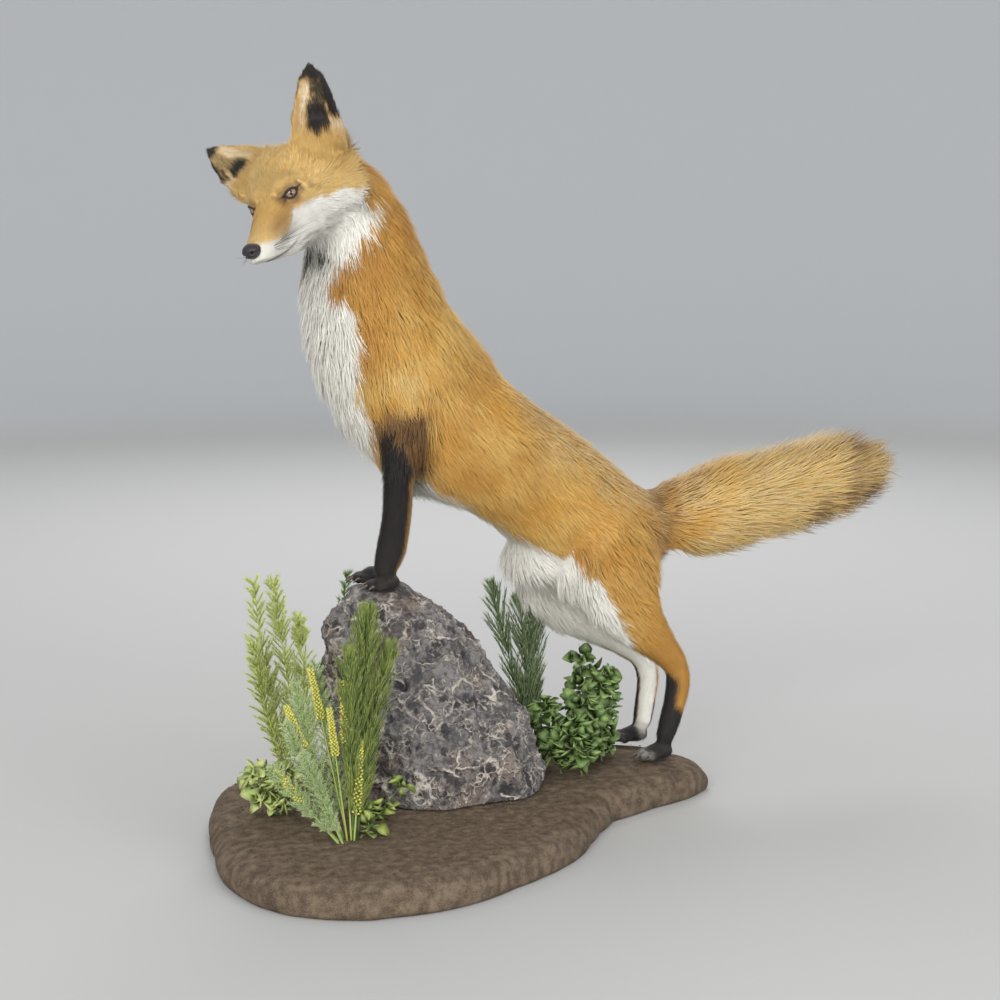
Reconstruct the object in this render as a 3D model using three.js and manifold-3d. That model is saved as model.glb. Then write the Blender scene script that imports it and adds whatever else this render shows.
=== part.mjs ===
// A life-size mounted red fox. It stretches up with its forepaws on a rock and its hind paws on an
// earth-covered base, looks down over its left shoulder, and is set among artificial plants.
// Millimetres, +Z up. The fox faces -X, and its left side is -Y. Every solid of the fox reaches to the
// tips of its coat. The origin is the middle of the whole mount's box, on the surface it stands on.
import * as THREE from "three";
import { mergeVertices } from "three/addons/utils/BufferGeometryUtils.js";
import Module from "manifold-3d";

const wasm = await Module();
wasm.setup();

// ---------------------------------------------------------------- driving sizes
const GAP = 0.35; // clearance between pieces that touch
const BASE_TOP = 34; // height of the earth over the table
const EYE_RADIUS = 9.8;
const EYE_SEAT = { forward: -1, side: 21.4, up: -3 }; // eyeball centre in the head's frame
const EAR_LENGTH = 84; // above its root
const EAR_SINK = 14; // how far it goes on below its root, into the head
const HEAD_AT = new THREE.Vector3(-275.5, -63, 684); // the point midway between the eyes
const HEAD_TURN = 51; // degrees to the fox's left
const HEAD_DROP = 28; // degrees below level
const HEAD_TILT = 22; // degrees, left side raised
const ROCK_TOP = 252; // where the forepaws rest

// Where the body is parted, and the way it runs there.
const WITHERS = { at: [-152, 0, 545], along: [0.5, 0, -0.87] };
const TAIL_CUT = { at: [365, 18, 334], along: [46, 12, 7] };
const LEG_CUTS = {
  fore_left: { at: [-133, -50, 414], along: [0.05, 0, -1] },
  fore_right: { at: [-99, 46, 408], along: [0.05, 0, -1] },
  hind_left: { at: [154, -51, 194], along: [0.75, 0, -0.66] },
  hind_right: { at: [122, 51, 190], along: [0.8, 0, -0.6] },
};

const radians = THREE.MathUtils.degToRad;

// ---------------------------------------------------------------- finishes
const finish = (color, roughness) => new THREE.MeshStandardMaterial({ color, roughness, metalness: 0 });
const coatRed = finish(0xb8742a, 0.9);
const coatPale = finish(0xc89a5c, 0.9);
const coatDark = finish(0x2c2420, 0.9);
const leather = finish(0x141216, 0.45);
const glassEye = finish(0x5a3216, 0.1);
const stone = finish(0x6f6868, 0.85);
const earth = finish(0x57443a, 0.95);
const foliage = finish(0x6d8a3c, 0.7);

// ---------------------------------------------------------------- shape helpers
const signedPower = (value, power) => Math.sign(value) * Math.abs(value) ** power;

// A closed three.js geometry as a solid with its faces pointing out.
function solidOf(geometry) {
  const bare = geometry.clone();
  bare.deleteAttribute("normal");
  bare.deleteAttribute("uv");
  const merged = mergeVertices(bare, 1e-3);
  const triVerts = dropEmptyFaces(merged.index.array);
  const vertProperties = new Float32Array(merged.attributes.position.array);
  const made = new wasm.Manifold(new wasm.Mesh({ numProp: 3, vertProperties, triVerts }));
  if (made.volume() > 0) return made;
  for (let i = 0; i < triVerts.length; i += 3) {
    [triVerts[i + 1], triVerts[i + 2]] = [triVerts[i + 2], triVerts[i + 1]];
  }
  return new wasm.Manifold(new wasm.Mesh({ numProp: 3, vertProperties, triVerts }));
}

function dropEmptyFaces(index) {
  const kept = [];
  for (let i = 0; i < index.length; i += 3) {
    const [a, b, c] = [index[i], index[i + 1], index[i + 2]];
    if (a !== b && b !== c && a !== c) kept.push(a, b, c);
  }
  return new Uint32Array(kept);
}

// The largest separate piece of a solid: a cut may leave slivers behind.
function largest(solid) {
  return solid.decompose().reduce((best, piece) => (piece.volume() > best.volume() ? piece : best));
}

function meshOf(name, solid, material) {
  const { numProp, vertProperties, triVerts } = largest(solid).getMesh();
  const position = new Float32Array((vertProperties.length / numProp) * 3);
  for (let i = 0; i * numProp < vertProperties.length; i += 1) {
    position.set(vertProperties.subarray(i * numProp, i * numProp + 3), i * 3);
  }
  const geometry = new THREE.BufferGeometry();
  geometry.setAttribute("position", new THREE.BufferAttribute(position, 3));
  geometry.setIndex(new THREE.BufferAttribute(new Uint32Array(triVerts), 1));
  const mesh = new THREE.Mesh(geometry, material);
  mesh.name = name;
  return mesh;
}

// One station of a loft: its centre, its half width, and its reach to either side of the centre,
// towards the back and towards the belly. pinch narrows the back's half, as on a skull that is widest
// at the cheeks.
const ring = (x, y, z, wide, above, below = above, pinch = 0) => ({
  at: new THREE.Vector3(x, y, z),
  reach: new THREE.Vector3(wide, above, below),
  pinch: new THREE.Vector3(pinch, 0, 0),
});

// A station from a point on the back's outline and one on the belly's, in the middle plane.
function profile([backX, backZ], [bellyX, bellyZ], wide) {
  const half = Math.hypot(backX - bellyX, backZ - bellyZ) / 2;
  return ring((backX + bellyX) / 2, 0, (backZ + bellyZ) / 2, wide, half);
}

// A body lofted through stations. The rings stand square to the path, with their width along side.
// grow adds a margin all round.
function loft(stations, { around = 18, along = 24, side = [0, 1, 0], power = 1, grow = 0 } = {}) {
  const through = (key) => new THREE.CatmullRomCurve3(stations.map((s) => s[key]), false, "catmullrom", 0.5);
  const path = through("at");
  const reaches = through("reach");
  const pinches = through("pinch");
  const sideways = new THREE.Vector3(...side);
  const geometry = new THREE.SphereGeometry(1, around, along);
  const { position, uv } = geometry.attributes;
  for (let i = 0; i < position.count; i += 1) {
    const row = Math.round((1 - uv.getY(i)) * along);
    const turn = Math.atan2(position.getZ(i), position.getX(i));
    // The first and last rows close the ends on half a station's dome.
    const t = THREE.MathUtils.clamp(row / along, 0, 1);
    const dome = Math.sqrt(Math.max(0, 1 - Math.max(0, Math.abs(2 * t - 1) * along - along + 3) ** 2 / 9));
    const centre = path.getPoint(t);
    const tangent = path.getTangent(t);
    const lateral = sideways.clone().addScaledVector(tangent, -sideways.dot(tangent)).normalize();
    const upward = new THREE.Vector3().crossVectors(tangent, lateral).normalize();
    const reach = reaches.getPoint(t);
    const c = signedPower(Math.cos(turn), power);
    const s = signedPower(Math.sin(turn), power);
    const narrowed = 1 - pinches.getPoint(t).x * Math.max(0, s);
    const wide = (reach.x + grow) * dome * c * narrowed;
    const high = ((s > 0 ? reach.y : reach.z) + grow) * dome * s;
    const end = tangent.multiplyScalar(grow * (t === 0 ? -1 : t === 1 ? 1 : 0));
    const point = centre.addScaledVector(lateral, wide).addScaledVector(upward, high).add(end);
    position.setXYZ(i, point.x, point.y, point.z);
  }
  return solidOf(geometry);
}

// An ellipsoid with its own half sizes, turned by a matrix if one is given.
function ellipsoid(centre, halves, { around = 12, along = 8, turn = null, grow = 0 } = {}) {
  const geometry = new THREE.SphereGeometry(1, around, along);
  geometry.scale(halves[0] + grow, halves[1] + grow, halves[2] + grow);
  if (turn) geometry.applyMatrix4(turn);
  geometry.translate(...centre);
  return solidOf(geometry);
}

// A thin slab, GAP thick, square to a direction through a point: it parts one piece from the next.
function parting(at, direction, size = 160) {
  const geometry = new THREE.BoxGeometry(size, size, GAP);
  const turn = new THREE.Quaternion().setFromUnitVectors(
    new THREE.Vector3(0, 0, 1),
    new THREE.Vector3(...direction).normalize(),
  );
  geometry.applyQuaternion(turn);
  geometry.translate(...at);
  return solidOf(geometry);
}

// The two sides of a solid cut through at a point: [the side that direction points to, the other].
function partedAt(solid, at, direction, size) {
  const along = new THREE.Vector3(...direction);
  const pieces = solid.subtract(parting(at, direction, size)).decompose();
  const sideOf = (piece) => {
    const { min, max } = piece.boundingBox();
    const middle = new THREE.Vector3(
      (min[0] + max[0]) / 2 - at[0],
      (min[1] + max[1]) / 2 - at[1],
      (min[2] + max[2]) / 2 - at[2],
    );
    return middle.dot(along) > 0;
  };
  const join = (list) => list.reduce((all, piece) => all.add(piece));
  return [join(pieces.filter(sideOf)), join(pieces.filter((p) => !sideOf(p)))];
}

// ---------------------------------------------------------------- the head's frame
// Head coordinates are (forward, left, up) from the point midway between the eyes.
const headTurn = new THREE.Euler(radians(-HEAD_TILT), radians(-HEAD_DROP), radians(HEAD_TURN), "ZYX");
const headMatrix = new THREE.Matrix4().makeRotationFromEuler(headTurn);
headMatrix.setPosition(HEAD_AT);
const inHead = (forward, left, up) => new THREE.Vector3(-forward, -left, up).applyMatrix4(headMatrix);
const headDirection = (forward, left, up) =>
  new THREE.Vector3(-forward, -left, up).transformDirection(headMatrix);

function headRing(forward, up, wide, above, below, pinch = 0) {
  const centre = inHead(forward, 0, up);
  return ring(centre.x, centre.y, centre.z, wide, above, below, pinch);
}

// ---------------------------------------------------------------- head
const headSide = headDirection(0, 1, 0).toArray();
const headStations = [
  headRing(-92, -10, 22, 20, 24),
  headRing(-82, -11, 42, 35, 40, 0.1),
  headRing(-66, -12, 54, 44, 50, 0.2),
  headRing(-47, -14, 59, 47, 54, 0.28),
  headRing(-30, -14, 55, 45, 54, 0.3),
  headRing(-14, -13, 45, 38, 51, 0.25),
  headRing(0, -13, 34, 28, 54, 0.15),
  headRing(14, -14, 28, 20, 52, 0.1),
  headRing(30, -17, 25, 14.5, 44),
  headRing(48, -20, 22, 12, 33.5),
  headRing(64, -22, 18.5, 10.5, 23),
  headRing(78, -23, 14.5, 9.5, 15),
  headRing(88, -22, 8, 7, 9),
];
const headWhole = (grow) => loft(headStations, { around: 15, along: 18, side: headSide, power: 0.92, grow });

const nosePad = (grow) => {
  const centre = inHead(84, 0, -17).toArray();
  return ellipsoid(centre, [8, 9, 7.5], { around: 10, along: 7, turn: headRotation(), grow });
};
function headRotation() {
  return new THREE.Matrix4().makeRotationFromEuler(headTurn);
}

const eyeball = (side, grow) => {
  const centre = inHead(EYE_SEAT.forward, side * EYE_SEAT.side, EYE_SEAT.up).toArray();
  const radius = EYE_RADIUS + grow;
  return ellipsoid(centre, [radius, radius, radius], { around: 12, along: 7 });
};

// An ear is a cupped sheet, a rounded triangle that narrows to its tip and opens forward.
// u runs across it from -1 to 1, v from its root to its tip.
function earSheet(side, root, axis, opening, grow = 0) {
  const lengthways = headDirection(...axis);
  const forward = headDirection(...opening);
  forward.addScaledVector(lengthways, -forward.dot(lengthways)).normalize();
  const across = new THREE.Vector3().crossVectors(lengthways, forward);
  const base = inHead(...root);
  const geometry = new THREE.BoxGeometry(2, 1, 1, 6, 6, 1);
  const { position } = geometry.attributes;
  for (let i = 0; i < position.count; i += 1) {
    const u = position.getX(i);
    const v = position.getY(i) + 0.5;
    const outer = position.getZ(i); // -0.5 on the back, 0.5 in the cup
    const half = 32 * (1 - v) ** 0.55 + 1.5 + grow;
    const bend = 1.25 - 0.55 * v; // how far the edges wrap forward, in radians
    const radius = half / Math.sin(bend);
    const thick = (6.5 - 2.5 * v + 2 * grow) * (1 - 0.35 * u * u);
    const r = radius - outer * thick;
    const ends = v === 1 ? grow : v === 0 ? -grow : 0;
    const reach = (EAR_LENGTH + EAR_SINK) * v - EAR_SINK + ends;
    const point = base
      .clone()
      .addScaledVector(lengthways, reach)
      .addScaledVector(across, r * Math.sin(u * bend))
      .addScaledVector(forward, radius * (1 - Math.cos(bend) * 0.6) - r * Math.cos(u * bend));
    position.setXYZ(i, point.x, point.y, point.z);
  }
  return solidOf(geometry);
}

const ears = {
  left: earSheet(1, [-59, 48, 16], [-0.22, 0.36, 0.93], [0.9, 0.35, 0]),
  right: earSheet(-1, [-56, -42, 14], [-0.5, -0.75, 0.44], [0.6, 0.3, 0.6]),
};

// ---------------------------------------------------------------- neck and trunk
const torsoStations = [
  profile([-194, 754], [-246, 694], 32),
  profile([-168, 740], [-232, 660], 46),
  profile([-139, 707], [-220, 626], 53),
  profile([-113, 670], [-218, 592], 57),
  profile([-91, 625], [-221, 546], 63),
  profile([-66, 576], [-209, 482], 69),
  profile([-34, 531], [-173, 418], 71),
  profile([-2, 491], [-128, 377], 68),
  profile([36, 457], [-62, 345], 64),
  profile([73, 431], [-15, 316], 59),
  profile([110, 402], [26, 284], 58),
  profile([146, 372], [72, 252], 58),
  profile([178, 351], [120, 242], 52),
  profile([198, 328], [162, 250], 38),
  profile([203, 302], [190, 272], 16),
];
const torsoWhole = (grow) => loft(torsoStations, { around: 16, along: 28, grow });

// ---------------------------------------------------------------- tail
const tailStations = [
  ring(160, 0, 316, 20, 22, 22),
  ring(192, 0, 318, 27, 28, 30),
  ring(224, 0, 315, 40, 40, 42),
  ring(258, 2, 317, 49, 51, 51),
  ring(299, 6, 325, 54, 59, 57),
  ring(343, 13, 331, 55, 58, 57),
  ring(388, 23, 337, 55, 57, 57),
  ring(436, 36, 344, 54, 57, 55),
  ring(481, 50, 351, 47, 51, 49),
  ring(522, 63, 361, 33, 36, 34),
  ring(552, 71, 371, 16, 18, 17),
];
const tailWhole = loft(tailStations, { around: 14, along: 14 });

// ---------------------------------------------------------------- legs
// Rings of a leg: the half width is across the body, the reaches are in front of and behind its centre.
const foreStations = {
  left: [
    ring(-92, -24, 520, 16, 24, 24),
    ring(-108, -34, 490, 24, 36, 36),
    ring(-123, -44, 460, 29, 37, 38),
    ring(-130, -50, 432, 26, 31, 30),
    ring(-134, -49, 404, 20, 22, 21),
    ring(-136, -45, 370, 17, 20, 17),
    ring(-137, -39, 335, 15.5, 19, 16),
    ring(-140, -33, 304, 15.5, 20, 17),
    ring(-146, -29, 280, 14.5, 16, 14),
    ring(-150, -28, 266, 14, 14, 12),
  ],
  right: [
    ring(-66, 26, 516, 16, 24, 24),
    ring(-80, 40, 486, 26, 36, 36),
    ring(-93, 50, 456, 30, 35, 36),
    ring(-98, 50, 428, 27, 30, 30),
    ring(-100, 44, 398, 20, 21, 22),
    ring(-104, 36, 366, 16.5, 17, 18),
    ring(-110, 31, 332, 15, 16, 16),
    ring(-115, 26, 302, 15, 15, 16),
    ring(-121, 23, 280, 14.5, 14, 14),
    ring(-131, 22, 266, 14, 14, 12),
  ],
};
const hindStations = {
  left: [
    ring(130, -30, 338, 20, 34, 36),
    ring(122, -42, 300, 30, 56, 54),
    ring(118, -50, 262, 34, 58, 54),
    ring(130, -53, 224, 30, 50, 44),
    ring(154, -51, 194, 23, 34, 29),
    ring(182, -48, 168, 18, 22, 21),
    ring(203, -45, 146, 15, 15, 19),
    ring(205, -44, 122, 14, 16, 17),
    ring(199, -43, 94, 13.5, 15, 15),
    ring(190, -43, 66, 13.5, 14, 13),
    ring(183, -43, 50, 13, 13, 11),
  ],
  right: [
    ring(126, 30, 332, 20, 36, 36),
    ring(104, 42, 296, 30, 58, 56),
    ring(82, 50, 258, 33, 54, 56),
    ring(84, 53, 222, 29, 46, 42),
    ring(122, 51, 190, 23, 30, 28),
    ring(164, 48, 163, 17, 21, 20),
    ring(196, 44, 141, 15, 16, 18),
    ring(205, 42, 115, 14, 15, 16),
    ring(202, 42, 90, 13.5, 14, 14),
    ring(198, 42, 64, 13.5, 14, 13),
    ring(193, 42, 50, 13, 13, 11),
  ],
};

// A paw: a pad body and four toes in a shallow arc, resting at z = floor.
function paw(x, y, floor, turn, { length = 44, width = 34, height = 24, grow = 0 } = {}) {
  const heading = radians(turn);
  const place = (forward, left) => [
    x - forward * Math.cos(heading) + left * Math.sin(heading),
    y - left * Math.cos(heading) - forward * Math.sin(heading),
  ];
  const spin = new THREE.Matrix4().makeRotationZ(heading);
  const centre = [...place(-length * 0.12, 0), floor + height * 0.5];
  const halves = [length * 0.42, width * 0.46, height * 0.5];
  let made = ellipsoid(centre, halves, { around: 9, along: 5, turn: spin, grow });
  const toes = [
    { forward: 0.24, left: -0.36 },
    { forward: 0.4, left: -0.13 },
    { forward: 0.4, left: 0.13 },
    { forward: 0.24, left: 0.36 },
  ];
  for (const toe of toes) {
    const at = [...place(toe.forward * length, toe.left * width), floor + height * 0.36];
    const size = [length * 0.22, width * 0.165, height * 0.36];
    made = made.add(ellipsoid(at, size, { around: 5, along: 4, turn: spin, grow }));
  }
  // The sole is flat, so that the paw stands on a face.
  const sole = new THREE.BoxGeometry(200, 200, 40);
  sole.translate(x, y, floor - 20 - grow);
  return made.subtract(solidOf(sole));
}

const forePad = { length: 37, width: 34, height: 22 };
const hindPad = { length: 42, width: 32, height: 22 };
const paws = {
  fore_paw_left: (grow) => paw(-147, -28, ROCK_TOP, 4, { ...forePad, grow }),
  fore_paw_right: (grow) => paw(-147, 22, ROCK_TOP, -4, { ...forePad, grow }),
  hind_paw_left: (grow) => paw(178, -43, BASE_TOP, 6, { ...hindPad, grow }),
  hind_paw_right: (grow) => paw(183, 42, BASE_TOP, -6, { ...hindPad, grow }),
};

// ---------------------------------------------------------------- rock
// Value of a smooth, repeatable ripple, about -1 to 1, used to roughen stone and earth.
const ripple = (x, y, z) =>
  (Math.sin(x * 1.7 + 1.3 * Math.sin(y * 1.1 + 0.7) + 2.1) +
    Math.sin(y * 1.9 + 1.1 * Math.sin(z * 1.3 + 1.9)) +
    Math.sin(z * 1.6 + 1.2 * Math.sin(x * 1.2 + 4.2) + 0.6)) /
  3;

function rockSolid(grow) {
  const rings = [
    // height, centre x, centre y, reach to -x, reach to +x, reach to -y, reach to +y
    { z: 0, x: -92, y: -40, west: 108, east: 120, south: 114, north: 104 },
    { z: 0.2, x: -94, y: -38, west: 112, east: 116, south: 112, north: 100 },
    { z: 0.4, x: -100, y: -32, west: 114, east: 101, south: 100, north: 90 },
    { z: 0.6, x: -110, y: -24, west: 106, east: 86, south: 82, north: 78 },
    { z: 0.78, x: -124, y: -16, west: 84, east: 73, south: 60, north: 62 },
    { z: 0.92, x: -140, y: -8, west: 48, east: 44, south: 44, north: 46 },
    { z: 1, x: -146, y: -4, west: 30, east: 28, south: 33, north: 34 },
  ];
  const curve = (keys) =>
    new THREE.CatmullRomCurve3(
      rings.map((r) => new THREE.Vector3(...keys.map((k) => (k ? r[k] : 0)))),
      false,
      "catmullrom",
      0.5,
    );
  const centres = curve(["x", "y", "z"]);
  const southEast = curve(["east", "south", null]);
  const northWest = curve(["west", "north", null]);
  const along = 11;
  const geometry = new THREE.SphereGeometry(1, 18, along);
  const { position, uv } = geometry.attributes;
  const bottom = BASE_TOP - 14;
  for (let i = 0; i < position.count; i += 1) {
    const row = Math.round(uv.getY(i) * along); // 0 at the foot
    const turn = Math.atan2(position.getZ(i), position.getX(i));
    const t = THREE.MathUtils.clamp((row - 1) / (along - 2), 0, 1);
    const closed = row === 0 || row === along ? 0 : 1;
    const centre = centres.getPoint(t);
    const se = southEast.getPoint(t);
    const nw = northWest.getPoint(t);
    const c = signedPower(Math.cos(turn), 0.85) * closed;
    const s = signedPower(Math.sin(turn), 0.85) * closed;
    let x = centre.x + (c > 0 ? se.x : nw.x) * c;
    let y = centre.y + (s > 0 ? nw.y : se.y) * s;
    const z = bottom + (ROCK_TOP + 3 + grow - bottom) * centre.z;
    const rough = grow + 9 * ripple(x / 26, y / 26, z / 26) + 5 * ripple(x / 11, z / 11, y / 11);
    x += c * rough;
    y += s * rough;
    position.setXYZ(i, x, y, z);
  }
  return solidOf(geometry);
}

// ---------------------------------------------------------------- base
// The outline of the base on the table, a pear shape: a broad lobe under the rock, a narrow one behind.
const baseOutline = [
  [-366, -130],
  [-372, -232],
  [-340, -325],
  [-262, -368],
  [-180, -362],
  [-92, -322],
  [-8, -262],
  [52, -182],
  [128, -122],
  [200, -98],
  [236, -46],
  [222, 26],
  [150, 74],
  [40, 92],
  [-80, 102],
  [-190, 106],
  [-276, 84],
  [-336, 10],
].map(([x, y]) => new THREE.Vector3(x, y, 0));
const baseMiddle = new THREE.Vector3(-130, -120, 0);

function baseSolid() {
  const around = 44;
  const outline = new THREE.CatmullRomCurve3(baseOutline, true, "catmullrom", 0.5);
  // The profile from the middle of the underside out to the rim and back over the domed top.
  const profile = [
    [0, 0],
    [0.985, 0],
    [1, 4],
    [0.995, 16],
    [0.96, 26],
    [0.88, BASE_TOP - 1.5],
    [0.7, BASE_TOP],
    [0, BASE_TOP],
  ].map(([r, z]) => new THREE.Vector2(r, z));
  const geometry = new THREE.LatheGeometry(profile, around);
  const { position } = geometry.attributes;
  for (let i = 0; i < position.count; i += 1) {
    const share = Math.hypot(position.getX(i), position.getZ(i));
    const height = position.getY(i);
    const turn = Math.atan2(position.getZ(i), position.getX(i));
    const slot = ((Math.round((turn / (2 * Math.PI)) * around) % around) + around) % around;
    const rim = outline.getPoint(slot / around).sub(baseMiddle);
    position.setXYZ(i, baseMiddle.x + rim.x * share, baseMiddle.y + rim.y * share, height);
  }
  return solidOf(geometry);
}

// ---------------------------------------------------------------- plants
// One sprig, the outline of its leaves: a spindle from foot to tip, fullest part way up.
function spindle(foot, tip, wide, { fullest = 0.55, blunt = 0.3, bow = 0, flat = 0.8 } = {}, grow = 0) {
  const from = new THREE.Vector3(...foot);
  const to = new THREE.Vector3(...tip);
  const steps = 6;
  const stations = [];
  for (let i = 0; i <= steps; i += 1) {
    const t = i / steps;
    const at = from.clone().lerp(to, t);
    at.x -= bow * Math.sin(Math.PI * t);
    const share = t < fullest ? t / fullest : (1 - t) / (1 - fullest);
    const swell = wide * (blunt + (1 - blunt) * Math.sin((Math.PI / 2) * share));
    stations.push(ring(at.x, at.y, at.z, swell * flat, swell));
  }
  return loft(stations, { around: 5, along: 6, grow });
}

const PLANTED = BASE_TOP - 6; // how deep the stems start
const plants = {
  plant_heather_tall: [
    [[-246, -52, PLANTED], [-304, -70, 286], 17, { bow: 10 }],
    [[-244, -50, PLANTED], [-282, -62, 284], 17],
    [[-240, -46, PLANTED], [-252, -52, 240], 16, { bow: -4 }],
    [[-248, -58, PLANTED], [-308, -84, 220], 15, { bow: 10 }],
  ],
  plant_plume: [
    [[-236, -214, PLANTED], [-216, -196, 270], 18, { fullest: 0.7 }],
    [[-234, -212, PLANTED], [-188, -188, 228], 15, { fullest: 0.7, bow: 6 }],
    [[-238, -214, PLANTED], [-238, -206, 228], 14, { fullest: 0.7 }],
    [[-234, -212, PLANTED], [-182, -204, 84], 11, { fullest: 0.6 }],
  ],
  plant_heather_front: [
    [[-242, -208, PLANTED], [-264, -166, 214], 16, { fullest: 0.6 }],
    [[-244, -206, PLANTED], [-288, -176, 194], 16, { fullest: 0.6, bow: 4 }],
    [[-246, -210, PLANTED], [-302, -196, 158], 14, { fullest: 0.6, bow: 4 }],
  ],
  plant_heather_low: [
    [[-252, -222, PLANTED], [-322, -204, 116], 13, { fullest: 0.6 }],
    [[-250, -224, PLANTED], [-292, -214, 130], 12, { fullest: 0.6 }],
  ],
  plant_leaves_front: [
    [[-288, -100, PLANTED], [-316, -104, 84], 15, { fullest: 0.6, blunt: 0.5 }],
    [[-286, -100, PLANTED], [-284, -104, 86], 16, { fullest: 0.6, blunt: 0.5 }],
  ],
  plant_fern_rear: [[[-186, 84, PLANTED], [-161, 68, 264], 10, { fullest: 0.7 }]],
  plant_conifer_rear: [
    [[58, 44, PLANTED], [10, 58, 236], 17, { fullest: 0.7 }],
    [[60, 46, PLANTED], [46, 60, 218], 18, { fullest: 0.7 }],
    [[62, 48, PLANTED], [64, 62, 200], 17, { fullest: 0.7 }],
  ],
  plant_ivy_near: [
    [[54, -60, PLANTED], [38, -44, 142], 26, { fullest: 0.5, blunt: 0.6 }],
    [[74, -72, PLANTED], [66, -56, 126], 30, { fullest: 0.4, blunt: 0.6 }],
  ],
  plant_ivy_middle: [
    [[94, -40, PLANTED], [92, -22, 146], 26, { fullest: 0.5, blunt: 0.6 }],
    [[116, -26, PLANTED], [124, -2, 146], 22, { fullest: 0.5, blunt: 0.6 }],
  ],
  plant_ivy_far: [
    [[128, 8, PLANTED], [134, 14, 136], 20, { fullest: 0.5, blunt: 0.6 }],
    [[120, 14, PLANTED], [112, 36, 196], 17, { fullest: 0.75, blunt: 0.5 }],
  ],
};

// ---------------------------------------------------------------- assembly
const fox = new THREE.Group();
const take = (name, solid, material) => fox.add(meshOf(name, solid, material));

// Neck and trunk are one body, parted square to its length. The head is set into the neck.
const headRoom = headWhole(GAP);
const bodyRoom = torsoWhole(GAP).add(headRoom);
const [trunk, neck] = partedAt(torsoWhole(0).subtract(headRoom), WITHERS.at, WITHERS.along, 400);
const carved = [nosePad(GAP), eyeball(1, GAP), eyeball(-1, GAP)];
take("head", carved.reduce((whole, room) => whole.subtract(room), headWhole(0)), coatRed);
take("nose", nosePad(0), leather);
take("eye_left", eyeball(1, 0), glassEye);
take("eye_right", eyeball(-1, 0), glassEye);
take("ear_left", ears.left.subtract(bodyRoom), coatDark);
take("ear_right", ears.right.subtract(bodyRoom), coatDark);
take("neck", neck, coatRed);
take("trunk", trunk, coatRed);

const [tailTip, tailRoot] = partedAt(tailWhole.subtract(bodyRoom), TAIL_CUT.at, TAIL_CUT.along, 400);
take("tail_root", tailRoot, coatPale);
take("tail_tip", tailTip, coatPale);

for (const side of ["left", "right"]) {
  for (const [pair, stations] of [
    ["fore", foreStations[side]],
    ["hind", hindStations[side]],
  ]) {
    const pawName = `${pair}_paw_${side}`;
    const whole = loft(stations, { around: 10, along: 14 })
      .subtract(bodyRoom)
      .subtract(paws[pawName](GAP));
    const { at, along } = LEG_CUTS[`${pair}_${side}`];
    const [lower, upper] = partedAt(whole, at, along, 160);
    take(`${pair}_leg_upper_${side}`, upper, coatRed);
    take(`${pair}_leg_lower_${side}`, lower, coatDark);
    take(pawName, paws[pawName](0), coatDark);
  }
}

take("base", baseSolid(), earth);
const aboveBase = solidOf(new THREE.BoxGeometry(1200, 1200, 100).translate(0, 0, BASE_TOP + GAP - 50));
let rock = rockSolid(0).subtract(aboveBase);
for (const name of ["fore_paw_left", "fore_paw_right"]) rock = rock.subtract(paws[name](GAP));
take("rock", rock, stone);

// Each plant leaves room for the rock, the legs and the plants before it.
let taken = rockSolid(GAP);
for (const side of ["left", "right"]) {
  taken = taken.add(loft(hindStations[side], { around: 10, along: 14, grow: GAP }));
  taken = taken.add(paws[`hind_paw_${side}`](GAP));
}
for (const [name, sprigs] of Object.entries(plants)) {
  const shape = (grow) => sprigs.map((sprig) => spindle(...sprig, grow)).reduce((a, b) => a.add(b));
  take(name, shape(0).subtract(aboveBase).subtract(taken), foliage);
  taken = taken.add(shape(GAP));
}

// Centre the mount on its own box.
const box = new THREE.Box3().setFromObject(fox);
const middle = box.getCenter(new THREE.Vector3());
fox.position.set(-middle.x, -middle.y, -box.min.z);

export default fox;
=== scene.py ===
"""A life-size mounted red fox: it stretches up with its forepaws on a rock and its hind paws on an
earth-covered base, looks down over its left shoulder, and is set among artificial plants.

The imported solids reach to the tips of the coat. One skin is drawn from them and set in by the coat's
depth, and the coat stands on it again as closed tufts. All is in metres, in the solids' own frame.
Places are written in millimetres in two frames: the body's, with the fox facing -X, and the head's,
as (forward, left, up) from the point midway between the eyes.
"""
import math
from functools import cached_property

import bmesh
import bpy
import numpy as np
from bpy.props import FloatProperty, FloatVectorProperty, IntProperty, PointerProperty
from mathutils import Matrix, Vector


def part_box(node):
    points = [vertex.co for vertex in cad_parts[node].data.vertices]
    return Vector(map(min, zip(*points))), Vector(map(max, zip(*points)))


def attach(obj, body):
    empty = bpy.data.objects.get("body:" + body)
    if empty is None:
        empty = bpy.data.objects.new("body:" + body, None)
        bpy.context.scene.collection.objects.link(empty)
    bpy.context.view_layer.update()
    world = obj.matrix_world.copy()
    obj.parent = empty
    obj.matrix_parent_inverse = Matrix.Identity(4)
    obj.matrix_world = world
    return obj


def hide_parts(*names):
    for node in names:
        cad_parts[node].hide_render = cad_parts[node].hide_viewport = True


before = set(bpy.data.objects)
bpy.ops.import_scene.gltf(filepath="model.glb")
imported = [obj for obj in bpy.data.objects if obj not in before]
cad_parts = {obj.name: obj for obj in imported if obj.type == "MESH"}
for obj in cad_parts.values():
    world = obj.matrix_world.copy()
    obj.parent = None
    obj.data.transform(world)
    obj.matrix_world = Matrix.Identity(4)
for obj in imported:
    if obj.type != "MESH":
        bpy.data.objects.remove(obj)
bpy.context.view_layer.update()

bl_info = {
    "name": "Mounted red fox",
    "version": (1, 0, 0),
    "blender": (4, 5, 0),
    "location": "View3D > Sidebar > Fox mount",
    "description": "Skin, coat, eyes, claws, rock, earth and plants of a mounted red fox",
    "category": "Add Mesh",
}

BODY = "root"
MM = 0.001
FULL_TURN = 2 * np.pi

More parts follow.
